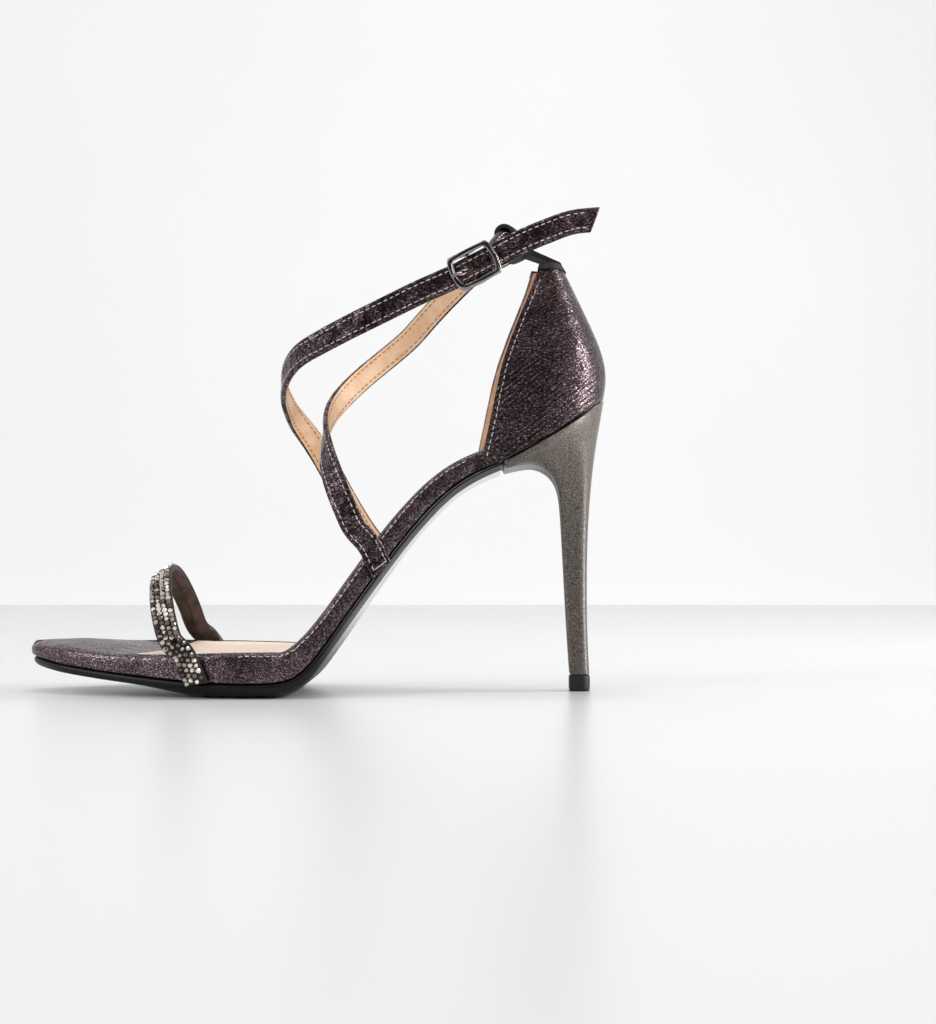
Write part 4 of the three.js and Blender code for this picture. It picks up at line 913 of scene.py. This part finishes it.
# %% Stitches on the counter and the platform
ROW_STEP = mm(2)
FRONT_INSET = mm(1.4)
FRONT_LOW = mm(84)
FRONT_HIGH = mm(150)
FRONT_SEARCH = (mm(72), mm(115))
NEAR_MIDDLE = mm(3)
RIM_SEARCH = (mm(2), mm(112))
RIM_SHARE = 0.9
RIM_DROP = mm(1.2)
RIM_START = mm(-60)
RIM_END = mm(78)
TOO_FLAT = 0.7


def counter_front_row(side):
    surface = BVHTree.FromObject(counter, bpy.context.evaluated_depsgraph_get())
    points = []
    z = FRONT_LOW
    while z < FRONT_HIGH:
        x = FRONT_SEARCH[0]
        found = None
        while x < FRONT_SEARCH[1] and not found:
            found = touch_from_side(surface, side, x, z)
            if found and found[0].y * side < 0:
                found = None
            x += FINE_STEP
        found = touch_from_side(surface, side, x + FRONT_INSET, z)
        if found and found[0].y * side > NEAR_MIDDLE:
            points.append(found)
        z += ROW_STEP
    return points


def rim_height(surface, side, x):
    """The height of the platform's rim at x, seen from the side."""
    z = RIM_SEARCH[0]
    widest = 0.0
    heights = []
    while z < RIM_SEARCH[1]:
        found = touch_from_side(surface, side, x, z)
        if found:
            widest = max(widest, abs(found[0].y))
            heights.append((z, abs(found[0].y)))
        z += FINE_STEP
    return max(z for z, reach in heights if reach > widest * RIM_SHARE)


def rim_row(side):
    """Points that follow the rim at an even distance under it."""
    surface = BVHTree.FromObject(platform, bpy.context.evaluated_depsgraph_get())
    points = []
    x = RIM_START
    while x < RIM_END:
        before = rim_height(surface, side, x - ROW_STEP)
        after = rim_height(surface, side, x + ROW_STEP)
        rise = (after - before) / (2 * ROW_STEP)
        z = rim_height(surface, side, x) - RIM_DROP * math.hypot(1, rise)
        found = touch_from_side(surface, side, x, z)
        if found and found[1].z < TOO_FLAT:
            points.append(found)
        x += ROW_STEP
    return points


edge_rows = []
for side in (-1, 1):
    edge_rows += row_matrices(counter_front_row(side))
    edge_rows += row_matrices(rim_row(side))
copies(plain_stitch(), edge_rows, "edge_stitches", THREAD, "upper_leather")

# %% [markdown]
# ## Seam inside the toe strap
# The toe strap's lining is closed by one dark seam along its middle, of longer and thicker stitches
# that touch each other.

# %% Seam inside the toe strap
SEAM_MARGIN = mm(3)
SEAM_PITCH = mm(1.9)
SEAM_LENGTH = mm(2.0)
SEAM_RADIUS = mm(0.25)

toe_inside = bands["toe_strap"][1]
seam = []
reach = SEAM_MARGIN
while reach < toe_inside.length - SEAM_MARGIN:
    place, along, out = toe_inside.at(reach, MIDDLE)
    seam.append(stand(place + out * PLY, along, out))
    reach += SEAM_PITCH
copies(stitch_pattern(SEAM_LENGTH, SEAM_RADIUS), seam, "toe_lining_seam", DARK_THREAD, "stone_setting")

# %% [markdown]
# ## Setting the stones
# The stones lie in four rows over the band, each row half a step on from the next, as a setter packs
# them. A ray drops each one onto the band's real surface. Small differences in size, turn and tilt
# make them glint one by one.

# %% Setting the stones
STONE_WIDTH = mm(2.0)
STONE_ROWS = 4
STONE_PITCH = mm(1.95)
STONE_MARGIN = 0.10
RAY_START = mm(9)
FIRST_STONE = mm(0.9)
LAST_STONE = mm(0.6)
SURFACE_TRUST = 0.6
STONE_TILT = 7
SMALLEST = 0.82
LARGEST = 1.06

toe_outside = bands["toe_strap"][0]
toe_surface = BVHTree.FromObject(toe_strap, bpy.context.evaluated_depsgraph_get())
settings = []
reach = FIRST_STONE
while reach < toe_outside.length - LAST_STONE:
    for row in range(STONE_ROWS):
        share = STONE_MARGIN + (1 - 2 * STONE_MARGIN) * row / (STONE_ROWS - 1)
        shifted = min(reach + (STONE_PITCH / 2 if row % 2 else 0), toe_outside.length)
        place, along, out = toe_outside.at(shifted, share)
        seat = toe_surface.ray_cast(place + out * RAY_START, -out, 2 * RAY_START)
        if seat[0] is not None:
            place = seat[0]
            out = out.lerp(seat[1], SURFACE_TRUST).normalized()
        size = random.uniform(SMALLEST, LARGEST)
        turn = Matrix.Rotation(random.uniform(0, math.tau), 4, "Z")
        tilt = Matrix.Rotation(math.radians(random.gauss(0, STONE_TILT)), 4, "X")
        settings.append(stand(place, out, along) @ turn @ tilt @ Matrix.Scale(size, 4))
    reach += STONE_PITCH
copies(stone_pattern(STONE_WIDTH), settings, "toe_stones", STONE, "stone_setting")

# %% [markdown]
# ## Dark line in the seat
# A thin black tube in the joint between the counter and the heel draws the dark line there. A ray
# that turns round the seat finds the counter's lower edge, and the round tube follows it.

# %% Dark line in the seat
JOINT_LINE_RADIUS = mm(0.36)
SEAT_CENTRE = Vector((mm(100), 0, 0))
SEAT_SWEEP = 128
SEAT_STEP = 4
SEAT_SEARCH = (mm(74), mm(112))
SEARCH_STEP = mm(0.3)
SEARCH_RADIUS = mm(90)


def seat_line():
    surface = BVHTree.FromObject(counter, bpy.context.evaluated_depsgraph_get())
    points = []
    for degrees in range(-SEAT_SWEEP, SEAT_SWEEP + 1, SEAT_STEP):
        turn = math.radians(degrees)
        outward = Vector((math.cos(turn), math.sin(turn), 0))
        z = SEAT_SEARCH[0]
        found = None
        while z < SEAT_SEARCH[1] and not found:
            found = touch(surface, SEAT_CENTRE + outward * SEARCH_RADIUS + Vector((0, 0, z)), -outward)
            z += SEARCH_STEP
        if found and found[0].dot(outward) > SEAT_CENTRE.dot(outward):
            points.append(found[0])
    return points


def tube(points, radius, name, material, slot):
    curve = bpy.data.curves.new(name, "CURVE")
    curve.dimensions = "3D"
    curve.bevel_depth = radius
    curve.bevel_resolution = 2
    curve.use_fill_caps = True
    line = curve.splines.new("POLY")
    line.points.add(len(points) - 1)
    for point, place in zip(line.points, points):
        point.co = (*place, 1)
    piece = bpy.data.objects.new(name, curve)
    bpy.context.scene.collection.objects.link(piece)
    choose(piece)
    bpy.ops.object.convert(target="MESH")
    piece = bpy.context.object
    bpy.ops.object.shade_smooth_by_angle(angle=SMOOTH_TURN)
    hand_over(piece, material, slot)
    print(name, len(points), "points")


# A black tube draws the dark line in the joint between the counter and the heel.
tube(seat_line(), JOINT_LINE_RADIUS, "seat_joint_line", SEAT_JOINT_BLACK, "sole_black")

# %% [markdown]
# ## Table and wall
# The shoe stands on a pale glossy table in front of a white wall. Both are matte or satin paint, so
# a slow haze of two close tones is all that they need. The table's back edge draws the faint
# horizon behind the shoe.

# %% Table and wall
TABLE_BACK = 1.06
TABLE_FRONT = 2.0
TABLE_WIDTH = 6
WALL_GAP = 0.35
WALL_WIDTH = 8
WALL_HEIGHT = 5
WALL_MIDDLE = 1.2


def studio_surface(name, dark, pale, roughness):
    material, tree, shader = new_material(name, Roughness=roughness)
    haze = add(tree, "ShaderNodeTexNoise", {"Vector": object_place(tree), "Scale": 3.0})
    shade = ramp(tree, haze.outputs["Fac"], [(0.3, dark), (0.7, pale)])
    tree.links.new(shade, shader.inputs["Base Color"])
    return material


clear_selection()
bpy.ops.mesh.primitive_plane_add(size=1, location=(0, 0, 0))
table = bpy.context.object
table.name = "table"
table.scale = (TABLE_WIDTH, TABLE_BACK + TABLE_FRONT, 1)
table.location = (0, (TABLE_BACK - TABLE_FRONT) / 2, 0)
bpy.ops.object.transform_apply(location=True, scale=True)
table.data.materials.append(studio_surface("pale_table", "#d6d7d7", "#dadbdb", 0.30))

clear_selection()
bpy.ops.mesh.primitive_plane_add(size=1, location=(0, 0, 0), rotation=(math.radians(90), 0, 0))
wall = bpy.context.object
wall.name = "wall"
wall.scale = (WALL_WIDTH, WALL_HEIGHT, 1)
wall.location = (0, TABLE_BACK + WALL_GAP, WALL_MIDDLE)
bpy.ops.object.transform_apply(location=True, rotation=True, scale=True)
wall.data.materials.append(studio_surface("white_wall", "#f2f2f2", "#f4f4f4", 0.9))
print("the table ends", TABLE_BACK, "m behind the shoe")

# %% [markdown]
# ## Lights
# A softbox above and one at the front left give even light. A tall strip at the right draws the
# bright line down the back of the counter, and a small light in front puts a spark on its upper
# part. The white world fills in the shadows.

# %% Lights
def soft_light(name, place, aim, width, height, power):
    data = bpy.data.lights.new(name, "AREA")
    data.shape = "RECTANGLE"
    data.size = width
    data.size_y = height
    data.energy = power
    light = bpy.data.objects.new(name, data)
    light.location = place
    light.rotation_euler = (Vector(aim) - Vector(place)).to_track_quat("-Z", "Y").to_euler()
    bpy.context.scene.collection.objects.link(light)


SHOE_MIDDLE = (mm(30), 0, mm(70))
COUNTER_BACK = (mm(110), 0, mm(110))
COUNTER_TOP = (mm(107), mm(-32), mm(158))
# Each light's place, the place it aims at, its width and height in metres and its power in watts
soft_light("top_softbox", (0.0, 0.1, 1.4), SHOE_MIDDLE, 0.45, 0.35, 4)
soft_light("front_left_softbox", (-1.2, -0.7, 0.9), SHOE_MIDDLE, 0.5, 0.6, 5)
soft_light("front_spark", (0.31, -0.88, 0.39), COUNTER_TOP, 0.10, 0.10, 0.25)
soft_light("right_strip", (1.1, 0.05, 0.35), COUNTER_BACK, 0.3, 0.9, 12)

world = bpy.data.worlds.new("studio")
bpy.context.scene.world = world
world.use_nodes = True
background = world.node_tree.nodes["Background"]
background.inputs["Color"].default_value = paint("#ffffff")
background.inputs["Strength"].default_value = 0.80
print(len(bpy.data.lights), "lights and a white world")

# %% [markdown]
# ## Black card
# A metallic surface shows the room. In a photo studio the room behind the camera is dark, and that
# gives the leather its depth. A black card stands there, and only reflections see it.

# %% Black card
CARD_WIDTH = 1.3
CARD_HEIGHT = 1.5
CARD_PLACE = (mm(60), -1.3, 0.76)

clear_selection()
bpy.ops.mesh.primitive_plane_add(size=1, location=(0, 0, 0))
card = bpy.context.object
card.name = "black_card"
card.scale = (CARD_WIDTH, CARD_HEIGHT, 1)
card.rotation_euler = (math.radians(90), 0, 0)
card.location = CARD_PLACE
bpy.ops.object.transform_apply(location=True, rotation=True, scale=True)
card.data.materials.append(studio_surface("black_card", "#040404", "#060606", 0.9))
card.visible_camera = False
card.visible_diffuse = False
card.visible_shadow = False

bpy.context.scene.view_settings.view_transform = "Standard"
print("the card's lower edge is", round(CARD_PLACE[2] - CARD_HEIGHT / 2, 3), "m over the table")
